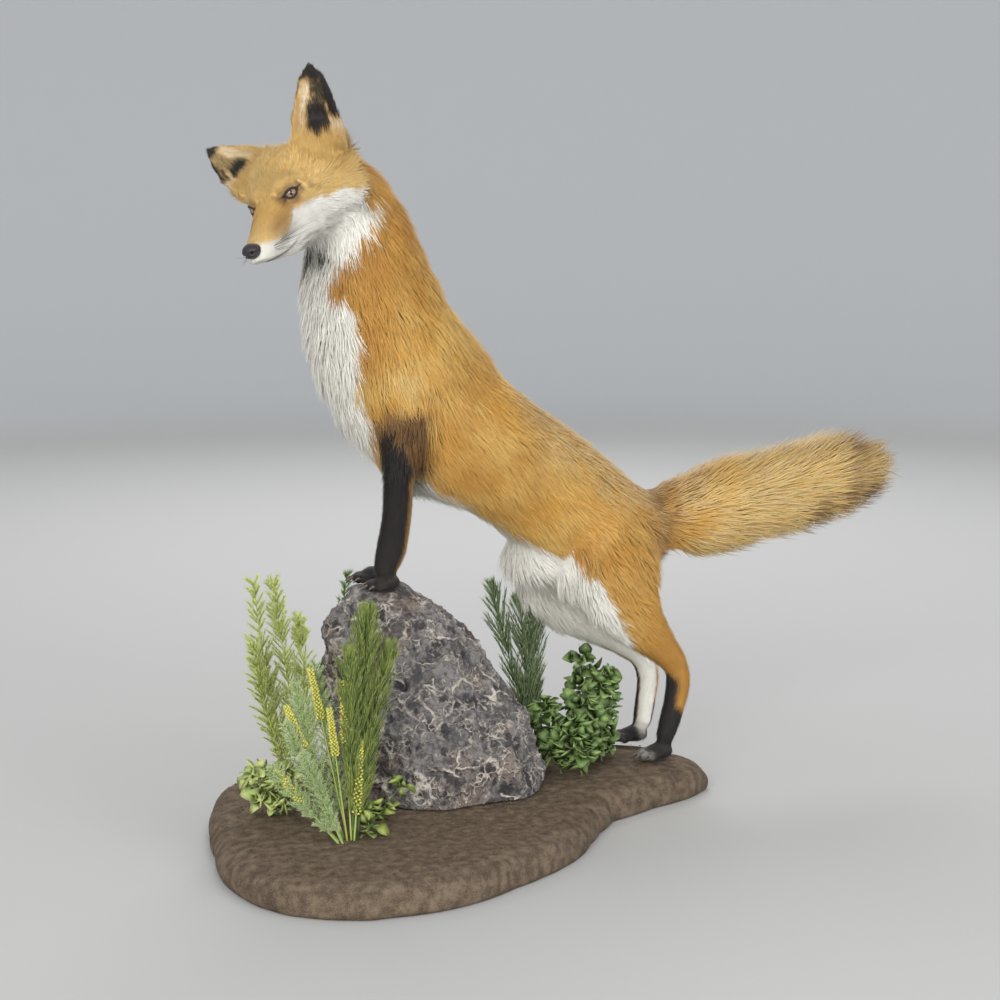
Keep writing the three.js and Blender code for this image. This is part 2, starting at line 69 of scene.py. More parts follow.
# ---- frames of the body and the head
HEAD_TURN, HEAD_DROP, HEAD_TILT = 51, 28, 22  # degrees: to its left, below level, left side raised
HEAD_AT = np.array([-275.5, -63.0, 684.0])
EYE_SEAT = np.array([-1.0, 21.4, -3.0])  # the left eyeball's centre in the head's frame
EYE_RADIUS = 9.8
NOSE_AT = np.array([84, 0, -17])


def rotation(axis, degrees):
    return np.array(Matrix.Rotation(math.radians(degrees), 3, axis))


# The columns are the head's forward, left and up directions.
HEAD_AXES = rotation("Z", HEAD_TURN) @ rotation("Y", -HEAD_DROP) @ rotation("X", -HEAD_TILT)
HEAD_AXES = HEAD_AXES @ np.diag([-1.0, -1.0, 1.0])
EYE_CENTRE = np.array(sum(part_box("eye_left"), Vector())) / 2
HEAD_ORIGIN = EYE_CENTRE - HEAD_AXES @ EYE_SEAT * MM
BODY_ORIGIN = HEAD_ORIGIN - HEAD_AT * MM


def from_head(places):
    """Points given in the head's frame, in millimetres, as scene points."""
    return HEAD_ORIGIN + MM * np.asarray(places, float) @ HEAD_AXES.T


def in_head(points):
    """Scene points in the head's frame, in millimetres: forward, left, up."""
    return (points - HEAD_ORIGIN) @ HEAD_AXES / MM


def from_body(places):
    """Points given in the body's frame, in millimetres, as scene points."""
    return BODY_ORIGIN + MM * np.asarray(places, float)


def in_body(points):
    """Scene points in the body's frame, in millimetres."""
    return (points - BODY_ORIGIN) / MM


# ---- arithmetic on arrays
def unit(vectors):
    return vectors / np.maximum(np.linalg.norm(vectors, axis=-1, keepdims=True), 1e-12)


def held(values):
    """Values held between 0 and 1."""
    return np.clip(values, 0, 1)


def ease(low, high, values):
    """0 below low, 1 above high, and a smooth rise between."""
    t = held((values - low) / (high - low))
    return t * t * (3 - 2 * t)


def hill(values, middle, width):
    """A bell curve of height 1 round middle."""
    return np.exp(-(((values - middle) / width) ** 2))


def mixed(a, b, share):
    """A value from a to b by share."""
    return a + (b - a) * share


def across_of(vectors, normals):
    """Vectors laid flat on the surface that has these normals."""
    flat = vectors - normals * (vectors * normals).sum(-1, keepdims=True)
    return unit(flat)


def turned(angle, first, second):
    """Directions at an angle from first towards second."""
    return np.cos(angle)[:, None] * first + np.sin(angle)[:, None] * second


def cell_hash(cells, seed):
    """A repeatable number from 0 to 1 for each whole-number cell."""
    x, y, z = (cells[..., k].astype(np.int64) for k in range(3))
    h = (x * 73856093) ^ (y * 19349663) ^ (z * 83492791) ^ (seed * 2654435)
    h = h & 0xFFFFFFFF
    h = ((h ^ (h >> 13)) * 1274126177) & 0xFFFFFFFF
    h = h ^ (h >> 16)
    return (h & 0xFFFFFF) / 0xFFFFFF


def value_noise(points, seed):
    """Smooth noise from -1 to 1: hashed cell corners, blended by eased trilinear weights."""
    cells = np.floor(points)
    part = points - cells
    part = part * part * (3 - 2 * part)
    total = np.zeros(points.shape[:-1])
    for corner in np.ndindex(2, 2, 2):
        weight = np.prod(np.where(corner, part, 1 - part), axis=-1)
        total += weight * cell_hash(cells + corner, seed)
    return total * 2 - 1


def fractal_noise(points, octaves, seed, ridged=False):
    """Octaves of value noise, each half as large and twice as fine. Ridged noise has sharp crests."""
    total = np.zeros(points.shape[:-1])
    for octave in range(octaves):
        layer = value_noise(points * 2.03**octave + 17.3 * octave, seed + octave)
        total += (1 - 2 * np.abs(layer) if ridged else layer) / 2**octave
    return total / (2 - 2 ** (1 - octaves))


def nearest_centres(points, seed):
    """The nearest of the scattered centres, one to each unit cell: (where it is, its own number,
    its distance, the next one's distance)."""
    cells = np.floor(points)
    best = np.full(len(points), np.inf)
    second = best.copy()
    where = np.zeros_like(points)
    number = np.zeros(len(points))
    for step in np.ndindex(3, 3, 3):
        cell = cells + step - 1
        centre = cell + np.stack([cell_hash(cell, seed + k) for k in range(3)], -1)
        distance = np.linalg.norm(centre - points, axis=-1)
        nearer = distance < best
        second = np.where(nearer, best, np.minimum(second, distance))
        best = np.where(nearer, distance, best)
        where[nearer] = centre[nearer]
        number = np.where(nearer, cell_hash(cell, seed + 5), number)
    return where, number, best, second


def averaged(values, edges, rounds, share=0.5):
    """Values at vertices, moved a share of the way to their neighbours' mean, in rounds."""
    count = len(values)
    flat = values.reshape(count, -1).astype(float).copy()
    ends = edges.T.ravel()
    others = edges[:, ::-1].T.ravel()
    degree = np.maximum(np.bincount(ends, minlength=count), 1)
    for _ in range(rounds):
        for k in range(flat.shape[1]):
            mean = np.bincount(ends, weights=flat[others, k], minlength=count) / degree
            flat[:, k] += share * (mean - flat[:, k])
    return flat.reshape(values.shape)


# ---- meshes
# How one number, a vector or a colour for each vertex is stored, by its width.
STORES = {1: ("FLOAT", "value"), 3: ("FLOAT_VECTOR", "vector"), 4: ("FLOAT_COLOR", "color")}


def shown(name, mesh, material):
    """The object that shows a mesh, smooth and in one material."""
    mesh.materials.clear()
    mesh.materials.append(material)
    mesh.polygons.foreach_set("use_smooth", np.ones(len(mesh.polygons), bool))
    made = bpy.data.objects.new(name, mesh)
    bpy.context.scene.collection.objects.link(made)
    return made


def piece_from(name, points, faces, material, uv=None, numbers=None):
    """A mesh object at the origin from arrays: points, triangles, a map on corners, and by name
    numbers, vectors or colours on vertices."""
    mesh = bpy.data.meshes.new(name)
    mesh.vertices.add(len(points))
    mesh.vertices.foreach_set("co", np.ascontiguousarray(points, np.float32).ravel())
    mesh.loops.add(faces.size)
    mesh.loops.foreach_set("vertex_index", faces.astype(np.int32).ravel())
    mesh.polygons.add(len(faces))
    mesh.polygons.foreach_set("loop_start", np.arange(0, faces.size, 3, dtype=np.int32))
    mesh.update(calc_edges=True)
    if uv is not None:
        layer = mesh.uv_layers.new(name="OFBake")
        layer.uv.foreach_set("vector", uv.astype(np.float32).ravel())
    put_numbers(mesh, numbers or {})
    return shown(name, mesh, material)


def put_numbers(mesh, numbers):
    """Stores arrays by name, with one number, vector or colour for each vertex."""
    for key, values in numbers.items():
        kind, field = STORES[1 if values.ndim == 1 else values.shape[1]]
        store = mesh.attributes.new(key, kind, "POINT")
        store.data.foreach_set(field, np.ascontiguousarray(values, np.float32).ravel())


def read(items, field, width, kind=np.float32):
    """One property of all items of a mesh, as rows of width."""
    values = np.empty(len(items) * width, kind)
    items.foreach_get(field, values)
    return values.reshape(-1, width)


def get_numbers(mesh, key, width):
    return read(mesh.attributes[key].data, STORES[width][1], width).astype(float)


def move_vertices(mesh, points):
    mesh.vertices.foreach_set("co", points.astype(np.float32).ravel())
    mesh.update()


def surface_of(mesh):
    """A mesh's points, edges and triangles."""
    mesh.calc_loop_triangles()
    points = read(mesh.vertices, "co", 3).astype(float)
    edges = read(mesh.edges, "vertices", 2, np.int32)
    return points, edges, read(mesh.loop_triangles, "vertices", 3, np.int32)


def normals_of(points, faces):
    """Vertex normals: the sum of each vertex's face normals, each as long as twice its area."""
    a, b, c = (points[faces[:, k]] for k in range(3))
    square = np.cross(b - a, c - a)
    total = np.zeros_like(points)
    for k in range(3):
        for axis in range(3):
            total[:, axis] += np.bincount(faces[:, k], weights=square[:, axis], minlength=len(points))
    return unit(total)


def as_triangles(quads):
    return np.concatenate([quads[:, [0, 1, 2]], quads[:, [0, 2, 3]]])


def outward(points, faces):
    """The triangles of one closed form, turned round if they face inwards."""
    a, b, c = (points[faces[:, k]] for k in range(3))
    volume = (a * np.cross(b, c)).sum()
    return faces if volume > 0 else faces[:, ::-1]


def ring_quads(rows, around):
    """Triangles between rings of points numbered from 1, each counter-clockwise seen from the last."""
    k = np.arange(around)
    after = (k + 1) % around
    start = 1 + around * np.arange(rows - 1)[:, None]
    quads = np.stack([start + k, start + after, start + around + after, start + around + k], -1)
    return as_triangles(quads.reshape(-1, 4))


def globe_faces(rows, around):
    """Triangles of a closed form with a pole, then rows rings of around points, then a pole."""
    k = np.arange(around)
    after = (k + 1) % around
    first = np.stack([np.zeros_like(k), 1 + after, 1 + k], -1)
    last_ring = 1 + (rows - 1) * around
    pole = np.full_like(k, 1 + rows * around)
    last = np.stack([pole, last_ring + k, last_ring + after], -1)
    return np.concatenate([first, ring_quads(rows, around), last])


def globe_turns(rows, around):
    """Angles of a globe's points, pole first: from the pole, and round the axis."""
    angle = np.repeat(np.linspace(0, np.pi, rows + 2)[1:-1], around)
    turn = np.tile(np.linspace(0, FULL_TURN, around, endpoint=False), rows)
    return np.concatenate([[0], angle, [np.pi]]), np.concatenate([[0], turn, [0]])


def globe(centre, axes):
    """A closed ellipsoid from its centre and its three half axes, as points and triangles."""
    rows, around = 14, 22
    angle, turn = globe_turns(rows, around)
    flat = np.sin(angle)
    shape = np.stack([np.cos(angle), flat * np.cos(turn), flat * np.sin(turn)], -1)
    points = centre + shape @ np.asarray(axes, float)
    return points, outward(points, globe_faces(rows, around))


def copied(faces, count, step):
    """The triangles of count equal forms, each with step points of its own."""
    return (faces[None] + step * np.arange(count)[:, None, None]).reshape(-1, 3)


def strands(stations, across, upward, radii, sides=3):
    """Closed tapering strands. stations is (strands, rings + 1, 3): each ring of sides points stands
    round its station, at the angle's cosine along across and sine along upward, and the last station
    is the point of the strand. Returns points, triangles and a share-of-patch map for corners."""
    count, steps = stations.shape[:2]
    rings = steps - 1
    turn = FULL_TURN * np.arange(sides) / sides + np.pi / 2
    spoke = np.cos(turn)[:, None] * across[:, None] + np.sin(turn)[:, None] * upward[:, None]
    ring_points = stations[:, :rings, None] + radii[:, :rings, None, None] * spoke[:, None]
    points = np.concatenate([ring_points.reshape(count, -1, 3), stations[:, -1:]], 1)
    k = np.arange(sides)

    def corner(ring, step):
        """Each side's point on a ring, or the next one, and where it is on the patch."""
        if ring == rings:
            return np.full(sides, rings * sides), np.stack([(k + 0.5) / sides, np.ones(sides)], -1)
        place = np.stack([(k + step) / sides, np.full(sides, ring / rings)], -1)
        return ring * sides + (k + step) % sides, place

    triples = []
    for ring in range(rings - 1):
        triples += [((ring, 0), (ring, 1), (ring + 1, 1)), ((ring, 0), (ring + 1, 1), (ring + 1, 0))]
    triples.append(((rings - 1, 0), (rings - 1, 1), (rings, 0)))
    faces = [np.stack([0 * k[2:], k[2:], k[1:-1]], -1)]
    patch = [np.tile([[0.0, 0.0], [0.5, 0.1], [1.0, 0.0]], (sides - 2, 1, 1))]
    for triple in triples:
        numbers, places = zip(*(corner(*which) for which in triple))
        faces.append(np.stack(numbers, -1))
        patch.append(np.stack(places, 1))
    faces = copied(np.concatenate(faces), count, rings * sides + 1)
    return points.reshape(-1, 3), faces, np.concatenate(patch)


def standing_frames(directions, hint):
    """For each direction D, unit vectors A across and U upward with A x U = D and U nearest to hint."""
    upward = across_of(np.broadcast_to(hint, directions.shape), directions)
    return np.cross(upward, directions), upward


def joined(parts):
    """Several (points, triangles) pairs as one."""
    points, faces, start = [], [], 0
    for part_points, part_faces in parts:
        points.append(part_points)
        faces.append(part_faces + start)
        start += len(part_points)
    return np.concatenate(points), np.concatenate(faces)


# ---- remeshed copies of the solids
def merged_solid(node, grow=0):
    """The points and triangles of a CAD node with its loose triangles joined, pushed out by grow."""
    work = bmesh.new()
    work.from_mesh(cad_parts[node].data)
    bmesh.ops.remove_doubles(work, verts=work.verts, dist=1e-5)
    bmesh.ops.triangulate(work, faces=work.faces)
    work.verts.index_update()
    points = np.array([v.co for v in work.verts], float)
    faces = np.array([[v.index for v in f.verts] for f in work.faces])
    work.free()
    return points + grow * normals_of(points, faces), faces


def remeshed(name, points, faces, voxel):
    """A closed even mesh round the union of some overlapping solids."""
    rough = piece_from(name + "_rough", points, faces, None)
    modifier = rough.modifiers.new("voxels", "REMESH")
    modifier.mode = "VOXEL"
    modifier.voxel_size = voxel
    graph = bpy.context.evaluated_depsgraph_get()
    mesh = bpy.data.meshes.new_from_object(rough.evaluated_get(graph), depsgraph=graph)
    bpy.data.objects.remove(rough)
    return mesh


def refine(mesh, inside):
    """Splits every edge whose ends both pass the test inside(points), then makes all triangles."""
    chosen = inside(surface_of(mesh)[0])
    work = bmesh.new()
    work.from_mesh(mesh)
    edges = [e for e in work.edges if chosen[e.verts[0].index] and chosen[e.verts[1].index]]
    bmesh.ops.subdivide_edges(work, edges=edges, cuts=1, use_grid_fill=True)
    bmesh.ops.triangulate(work, faces=work.faces)
    work.to_mesh(mesh)
    work.free()


# ---- parts of the fox
class PartLine:
    """The line down the middle of a part, through stations (x, y, z, radius) in the body's frame."""

    def __init__(self, stations):
        stations = np.asarray(stations, float)
        self.points = stations[:, :3]
        self.radius = stations[:, 3]
        step = np.linalg.norm(np.diff(self.points, axis=0), axis=1)
        self.run = np.concatenate([[0], np.cumsum(step)])
        self.length = self.run[-1]

    def at(self, run):
        return np.stack([np.interp(run, self.run, self.points[:, k]) for k in range(3)], -1)

    def nearest(self, places):
        """For each place: how far along the line its nearest point is, and how far off it lies."""
        best = np.full(len(places), np.inf)
        run = np.zeros(len(places))
        for k in range(len(self.points) - 1):
            start, step = self.points[k], self.points[k + 1] - self.points[k]
            share = held((places - start) @ step / (step @ step))
            distance = np.linalg.norm(places - start - share[:, None] * step, axis=1)
            nearer = distance < best
            best = np.where(nearer, distance, best)
            run = np.where(nearer, self.run[k] + share * np.linalg.norm(step), run)
        return run, best

    def tangent(self, run):
        reach = self.length / 12
        return unit(self.at(run + reach) - self.at(run - reach))


def head_line(stations):
    """A part line from stations given in the head's frame."""
    stations = np.asarray(stations, float)
    return PartLine(np.column_stack([in_body(from_head(stations[:, :3])), stations[:, 3]]))


EARS = {
    "ear_left": {"root": (-59, 48, 16), "axis": (-0.22, 0.36, 0.93), "opening": (0.9, 0.35, 0)},
    "ear_right": {"root": (-56, -42, 14), "axis": (-0.5, -0.75, 0.44), "opening": (0.6, 0.3, 0.6)},
}
EAR_LENGTH = 84  # above its root
EAR_SINK = 14  # below its root, in the head


def ear_frame(name):
    """The root of an ear and its lengthways, opening and sideways directions, in the head's frame."""
    root, axis, opening = (np.array(EARS[name][key], float) for key in ("root", "axis", "opening"))
    axis = unit(axis)
    opening = unit(opening - axis * (opening @ axis))
    return root, axis, opening, np.cross(axis, opening)


def ear_line(name):
    """The line up the middle of an ear, from its root to its tip."""
    root, axis, opening, _ = ear_frame(name)
    reach = np.array([-2, 24, 50, 78])
    radius = np.array([28, 26, 20, 8])
    return head_line(np.column_stack([root + reach[:, None] * axis + 8 * opening, radius]))


HEAD = [(92, 0, -22, 9), (64, 0, -28, 17), (30, 0, -30, 26), (0, 0, -24, 36), (-30, 0, -18, 53)]
HEAD += [(-66, 0, -15, 52), (-90, 0, -12, 30)]
TORSO = [(-214, 0, 712, 42), (-180, 0, 667, 55), (-156, 0, 586, 69), (-104, 0, 475, 80)]
TORSO += [(-13, 0, 401, 69), (68, 0, 343, 65), (130, 0, 305, 58), (186, 0, 292, 34)]
TAIL = [(160, 0, 316, 24), (224, 0, 315, 40), (299, 6, 325, 57), (388, 23, 337, 57)]
TAIL += [(481, 50, 351, 49), (522, 63, 361, 34), (560, 74, 373, 12)]
FORE_LEFT = [(-108, -38, 490, 30), (-130, -50, 432, 28), (-136, -45, 370, 17), (-140, -33, 304, 17)]
FORE_LEFT += [(-148, -28, 266, 14), (-172, -28, 260, 10)]
FORE_RIGHT = [(-80, 42, 486, 30), (-98, 50, 428, 28), (-104, 36, 366, 17), (-115, 26, 302, 15)]
FORE_RIGHT += [(-131, 22, 266, 13), (-168, 22, 260, 10)]
HIND_LEFT = [(128, -38, 318, 32), (118, -50, 262, 44), (154, -51, 194, 28), (203, -45, 146, 17)]
HIND_LEFT += [(199, -43, 94, 15), (183, -43, 52, 13), (148, -40, 42, 12)]
HIND_RIGHT = [(124, 32, 322, 32), (83, 51, 256, 44), (122, 51, 190, 28), (208, 42, 140, 17)]
HIND_RIGHT += [(202, 42, 90, 15), (190, 42, 50, 13), (158, 42, 42, 12)]
PARTS = {
    "head": head_line(HEAD),
    "ear_left": ear_line("ear_left"),
    "ear_right": ear_line("ear_right"),
    "torso": PartLine(TORSO),
    "tail": PartLine(TAIL),
    "fore_left": PartLine(FORE_LEFT),
    "fore_right": PartLine(FORE_RIGHT),
    "hind_left": PartLine(HIND_LEFT),
    "hind_right": PartLine(HIND_RIGHT),
}
NAMES = list(PARTS)
FORE = ("fore_left", "fore_right")
HIND = ("hind_left", "hind_right")
LEGS = FORE + HIND
FLESH = ["head", "neck", "trunk", "tail_root", "tail_tip", "ear_left", "ear_right"]
FLESH += [
    f"{pair}_{bit}_{side}"
    for pair in ("fore", "hind")
    for bit in ("leg_upper", "leg_lower", "paw")
    for side in ("left", "right")
]


def part_shares(places):
    """How much each place belongs to each part: the nearer its line, measured in the part's radii,
    the more. Also how far along each line it is."""
    runs, nearness = [], []
    for line in PARTS.values():
        run, distance = line.nearest(places)
        runs.append(run / line.length)
        nearness.append(distance / np.interp(run, line.run, line.radius))
    nearness = np.stack(nearness, -1)
    share = np.exp(-9 * (nearness - nearness.min(-1, keepdims=True)))
    return share / share.sum(-1, keepdims=True), dict(zip(NAMES, runs))


class Site:
    """Where points are on the fox: in the head's and the body's frame, their share in each part, and
    how far along each part they are."""

    def __init__(self, points, normals=None):
        self.points = points
        self.head = in_head(points)
        self.forward, self.left, self.up = self.head.T
        self.body = in_body(points)
        self.x, self.y, self.z = self.body.T
        self.shares, self.runs = part_shares(self.body)
        self.normals = normals

    @property
    def facing_up(self):
        return self.normals[:, 2]

    @property
    def facing_back(self):
        return self.normals[:, 0]

    def on(self, *names):
        """How much each point belongs to these parts together."""
        return sum(self.shares[:, NAMES.index(name)] for name in names)

    def run_of(self, left, right):
        """How far along a left or right part each point is, by the one it is on."""
        return np.where(self.on(left) > 0.3, self.runs[left], self.runs[right])

    def run_mm(self, name):
        """How far along a part each point is, in millimetres."""
        return self.runs[name] * PARTS[name].length

    def spot(self, forward, side, up):
        """A bell round a place of the head and its mirror image; each way has its middle and width."""
        return hill(self.forward, *forward) * hill(np.abs(self.left), *side) * hill(self.up, *up)

    @cached_property
    def wander(self):
        """Millimetres by which the edges of the markings stray."""
        return 4.5 * fractal_noise(self.body / 14, 3, 11)

    @cached_property
    def wide(self):
        """Broad patches, from -1 to 1."""
        return fractal_noise(self.body / 45, 3, 23)


def coat_fields(site):
    """The coat at each vertex: its depth in millimetres, its lift from the skin in degrees, a tuft's
    width in millimetres, and how closely tufts stand, from each part's own run of values."""
    forward, runs = site.forward, site.runs
    crown = ease(-12, 8, site.up) * ease(10, -10, forward)
    head_depth = np.interp(forward, [-85, -55, -30, -8, 12, 40, 84], [12, 10, 6.5, 2.8, 1.5, 1.1, 0.7])
    head_depth = mixed(head_depth, np.minimum(head_depth, 4.0), crown)
    head_lift = np.interp(forward, [-80, -30, 0, 84], [26, 22, 15, 12])
    head_width = np.interp(forward, [-80, -30, -14, 0, 84], [0.95, 0.75, 0.55, 0.42, 0.36])
    chest = ease(BIB_MARGIN, -BIB_MARGIN, site.x - bib_edge(site))
    torso_depth = np.interp(runs["torso"], [0, 0.15, 0.35, 0.6, 0.85, 1], [9, 12, 11, 9, 10, 9]) + 3 * chest
    torso_lift = np.interp(runs["torso"], [0, 0.2, 0.4, 1], [17, 21, 16, 16]) + 5 * chest
    tail_depth = np.interp(runs["tail"], [0, 0.15, 0.35, 0.85, 1], [10, 18, 33, 31, 18])
    tail_lift = np.interp(runs["tail"], [0, 0.2, 0.5, 1], [24, 32, 37, 30])
    table = {
        "head": (head_depth, head_lift, head_width, 2.0 - 0.6 * ease(0, -50, forward)),
        "torso": (torso_depth, torso_lift, 1.02 + 0.3 * chest, 0.9),
        "tail": (tail_depth, tail_lift, 1.35, 1.0),
    }
    for name in EARS:
        depth = np.interp(runs[name], [0, 0.2, 0.45, 1], [5, 3.4, 1.8, 1.4])
        table[name] = (depth, np.interp(runs[name], [0, 0.4, 1], [20, 17, 15]), 0.46, 1.6)
    for name in LEGS:
        depth = np.interp(runs[name], [0, 0.25, 0.5, 0.7, 1], [9, 7.5, 3.0, 2.2, 1.0])
        lift = np.interp(runs[name], [0, 0.4, 0.6, 1], [20, 17, 13, 11])
        width = np.interp(runs[name], [0, 0.42, 0.5, 1], [1.15, 0.9, 0.6, 0.45])
        table[name] = (depth, lift, width, 1.3)
    return np.stack([sum(site.on(name) * table[name][k] for name in NAMES) for k in range(4)], -1)


def coat_flow(site, edges):
    """The way the hair lies at each vertex: down each part's line, swept back and down on the cheeks
    and flanks, laid flat on the skin and smoothed over it."""
    forward, left, up = site.head.T
    flow = np.zeros_like(site.points)
    for i, name in enumerate(NAMES):
        lie = PARTS[name].tangent(site.run_mm(name))
        if name == "head":
            down = 0.75 * ease(-5, -35, up) * ease(30, -30, forward)
            side = 0.5 * np.sign(left) * ease(-10, -40, forward) * ease(10, -20, up)
            lie = np.stack([-np.ones_like(up), side, -down], -1) @ HEAD_AXES.T
        if name == "torso":
            lie = lie + np.array([0, 0, -0.3])
        if name.startswith("hind"):
            lie = lie + np.array([0.5, 0, -0.2]) * (site.runs[name] < 0.45)[:, None]
        flow += site.shares[:, i : i + 1] * lie
    flow = across_of(flow, site.normals)
    return across_of(averaged(flow, edges, 14), site.normals)


# ---- the head's features
LIDS = {"half": 6.4, "above": 2.5, "below": 3.5}  # the opening's half width and reach up and down, mm
LID_THICK = 1.0
LID_MOUND = 2.0  # how far flesh stands over the eyeball before the lids are shaped
# The face's hollows and swellings: height, then middle and width forward, to each side and up.
FACE = (
    (-2.6, (14, 9), (20, 7), (-8, 9)),  # hollow before the eye
    (1.8, (-5, 10), (20, 9), (9, 6)),  # brow
    (-1.2, (12, 12), (0, 7), (4, 12)),  # stop between the eyes
    (1.4, (66, 12), (14, 6), (-29, 6)),  # whisker pad
    (1.2, (-4, 16), (34, 8), (-16, 7)),  # cheek bone
    (-0.8, (40, 20), (15, 5), (-16, 5)),  # side of the bridge
)


def eye_frame(side):
    """An eye's centre, gaze, along (inner to outer corner) and lid-up directions in the head's frame."""
    centre = EYE_SEAT * np.array([1, side, 1])
    gaze = unit(np.array([0.74, 0.64 * side, 0.16]))
    along = np.array([-0.55, 0.83 * side, 0.03])
    along = unit(along - gaze * (along @ gaze))
    lid_up = np.cross(gaze, along) * side
    return centre, gaze, along, lid_up * np.sign(lid_up[2])


def eye_distance(head, side):
    """The distance to one eyeball's centre, in millimetres."""
    return np.linalg.norm(head - eye_frame(side)[0], axis=1)


def eye_nearness(head):
    """The distance to the nearer eyeball's centre, in millimetres."""
    return np.minimum(eye_distance(head, 1), eye_distance(head, -1))


def lid_distance(head, side):
    """How far outside the eye's opening a point is, in millimetres on the eyeball: negative inside.
    The opening is an almond, y = above * (1 - (x / half)^2) ^ 0.8, leaning into its inner corner."""
    centre, gaze, along, lid_up = eye_frame(side)
    way = unit(head - centre)
    x = EYE_RADIUS * (way @ along)
    y = EYE_RADIUS * (way @ lid_up)
    arch = held(1 - (x / LIDS["half"]) ** 2) ** 0.8
    outside = np.maximum(y - LIDS["above"] * arch, -LIDS["below"] * arch - y)
    outside = np.where(np.abs(x) > LIDS["half"], np.hypot(y, np.abs(x) - LIDS["half"]), outside)
    return np.where(way @ gaze < 0.1, 30.0, outside), x, y


def mouth_line(forward):
    """The height of the mouth's line at each forward place."""
    return np.interp(forward, [16, 30, 47, 57, 75, 86], [-37, -44, -44, -42.5, -37.5, -31])


def shape_face(points, normals):
    """Moves the skin of the head: sockets, brows, lids, bridge, whisker pads, mouth and chin."""
    site = Site(points)
    near_face = ease(-45, -25, site.forward) * (np.linalg.norm(site.head, axis=1) < 140)
    push = np.zeros(len(points))
    for height, *place in FACE:
        push += height * site.spot(*place)
    jaw = mouth_line(site.forward) - site.up
    muzzle = ease(14, 24, site.forward) * ease(90, 84, site.forward)
    push -= 1.9 * muzzle * hill(jaw, 0, 1.5)  # the line between the lips
    push -= 1.3 * muzzle * ease(0.5, 3, jaw) * ease(16, 8, jaw)  # the lower jaw sits inside the upper
    push += 0.7 * muzzle * hill(jaw, -3.2, 2.2)  # upper lip
    moved = points + MM * (push * near_face)[:, None] * normals
    for side in (1, -1):
        head = in_head(moved)
        outside, _, _ = lid_distance(head, side)
        centre = eye_frame(side)[0]
        reach = eye_distance(head, side)
        rim = mixed(EYE_RADIUS - 1.6, EYE_RADIUS + LID_THICK, ease(-0.5, 0.25, outside))
        rim = rim + 0.5 * hill(outside, 1.6, 1.0)
        hold = ease(6.5, 1.2, outside) * (reach < 22)
        moved = from_head(centre + (head - centre) * (mixed(reach, rim, hold) / reach)[:, None])
    return moved


# ---- markings
BIB_MARGIN = 8.0


def bib_edge(site):
    """How far back the white of the throat, chest and bib reaches at each height; less far on the
    neck's far side, which the head's turn draws out."""
    heights = [385, 434, 490, 533, 576, 597, 608, 623, 639, 658, 675, 690]
    edge = [-146, -163, -178, -181, -183, -200, -203, -198, -188, -174, -164, -162]
    return -58 * ease(-5, 35, site.y) * ease(560, 620, site.z) + np.interp(site.z, heights, edge)


def belly_edge(x):
    """The height up to which the belly and the front of the thigh are white."""
    places = [-150, -101, -42, 3, 34, 67, 91, 116, 137, 150]
    return np.interp(x, places, [404, 382, 344, 319, 304, 296, 261, 211, 178, 60])


def cheek_edge(forward):
    """The height up to which the muzzle's side and the cheek are white."""
    places = [-80, -64, -42, -15, 1, 20, 34, 44, 60, 75, 90]
    return np.interp(forward, places, [-58, -43, -32, -22, -17, -17, -27, -28, -24, -18, -14])


def face_white(site):
    """White below the cheek's edge."""
    cheek = site.up - cheek_edge(site.forward)
    return ease(5, -5, cheek + 0.9 * site.wander) * ease(-78, -66, site.forward + site.wander)


def chest_white(site):
    """White before the bib's edge."""
    return ease(7, -7, site.x - bib_edge(site) + site.wander)


def bib_white(site):
    """White of throat, chest and bib, above the belly and below the cheek's edge."""
    cheek = site.up - cheek_edge(site.forward)
    return chest_white(site) * ease(330, 350, site.z) * ease(6, -6, cheek + site.wander)


def belly_white(site):
    """White below the belly's edge."""
    return ease(8, -8, site.z - belly_edge(site.x) + site.wander) * ease(-170, -140, site.x)


def inner_leg(site):
    """The inside of the hind legs, down to the paw and not round to the heel."""
    hind = site.run_of(*HIND)
    inner = ease(0.1, 0.6, -np.sign(site.y) * site.normals[:, 1]) * ease(0.93, 0.88, hind)
    return inner * ease(0.85, 0.4, site.facing_back) * ease(164, 148, site.x - (site.z < 240) * 99)


def white_marks(site):
    """Muzzle, cheeks and throat, bib, belly, groin and the inside of the hind legs."""
    white = site.on("head") * face_white(site)
    white += site.on("torso") * np.maximum(bib_white(site), belly_white(site))
    white += site.on(*HIND) * np.maximum(belly_white(site), inner_leg(site))
    white += site.on(*FORE) * chest_white(site) * ease(425, 455, site.z)
    throat = site.on("head") * ease(-52, -62, site.up) * ease(-80, -60, site.forward)
    return held(np.maximum(white, throat))


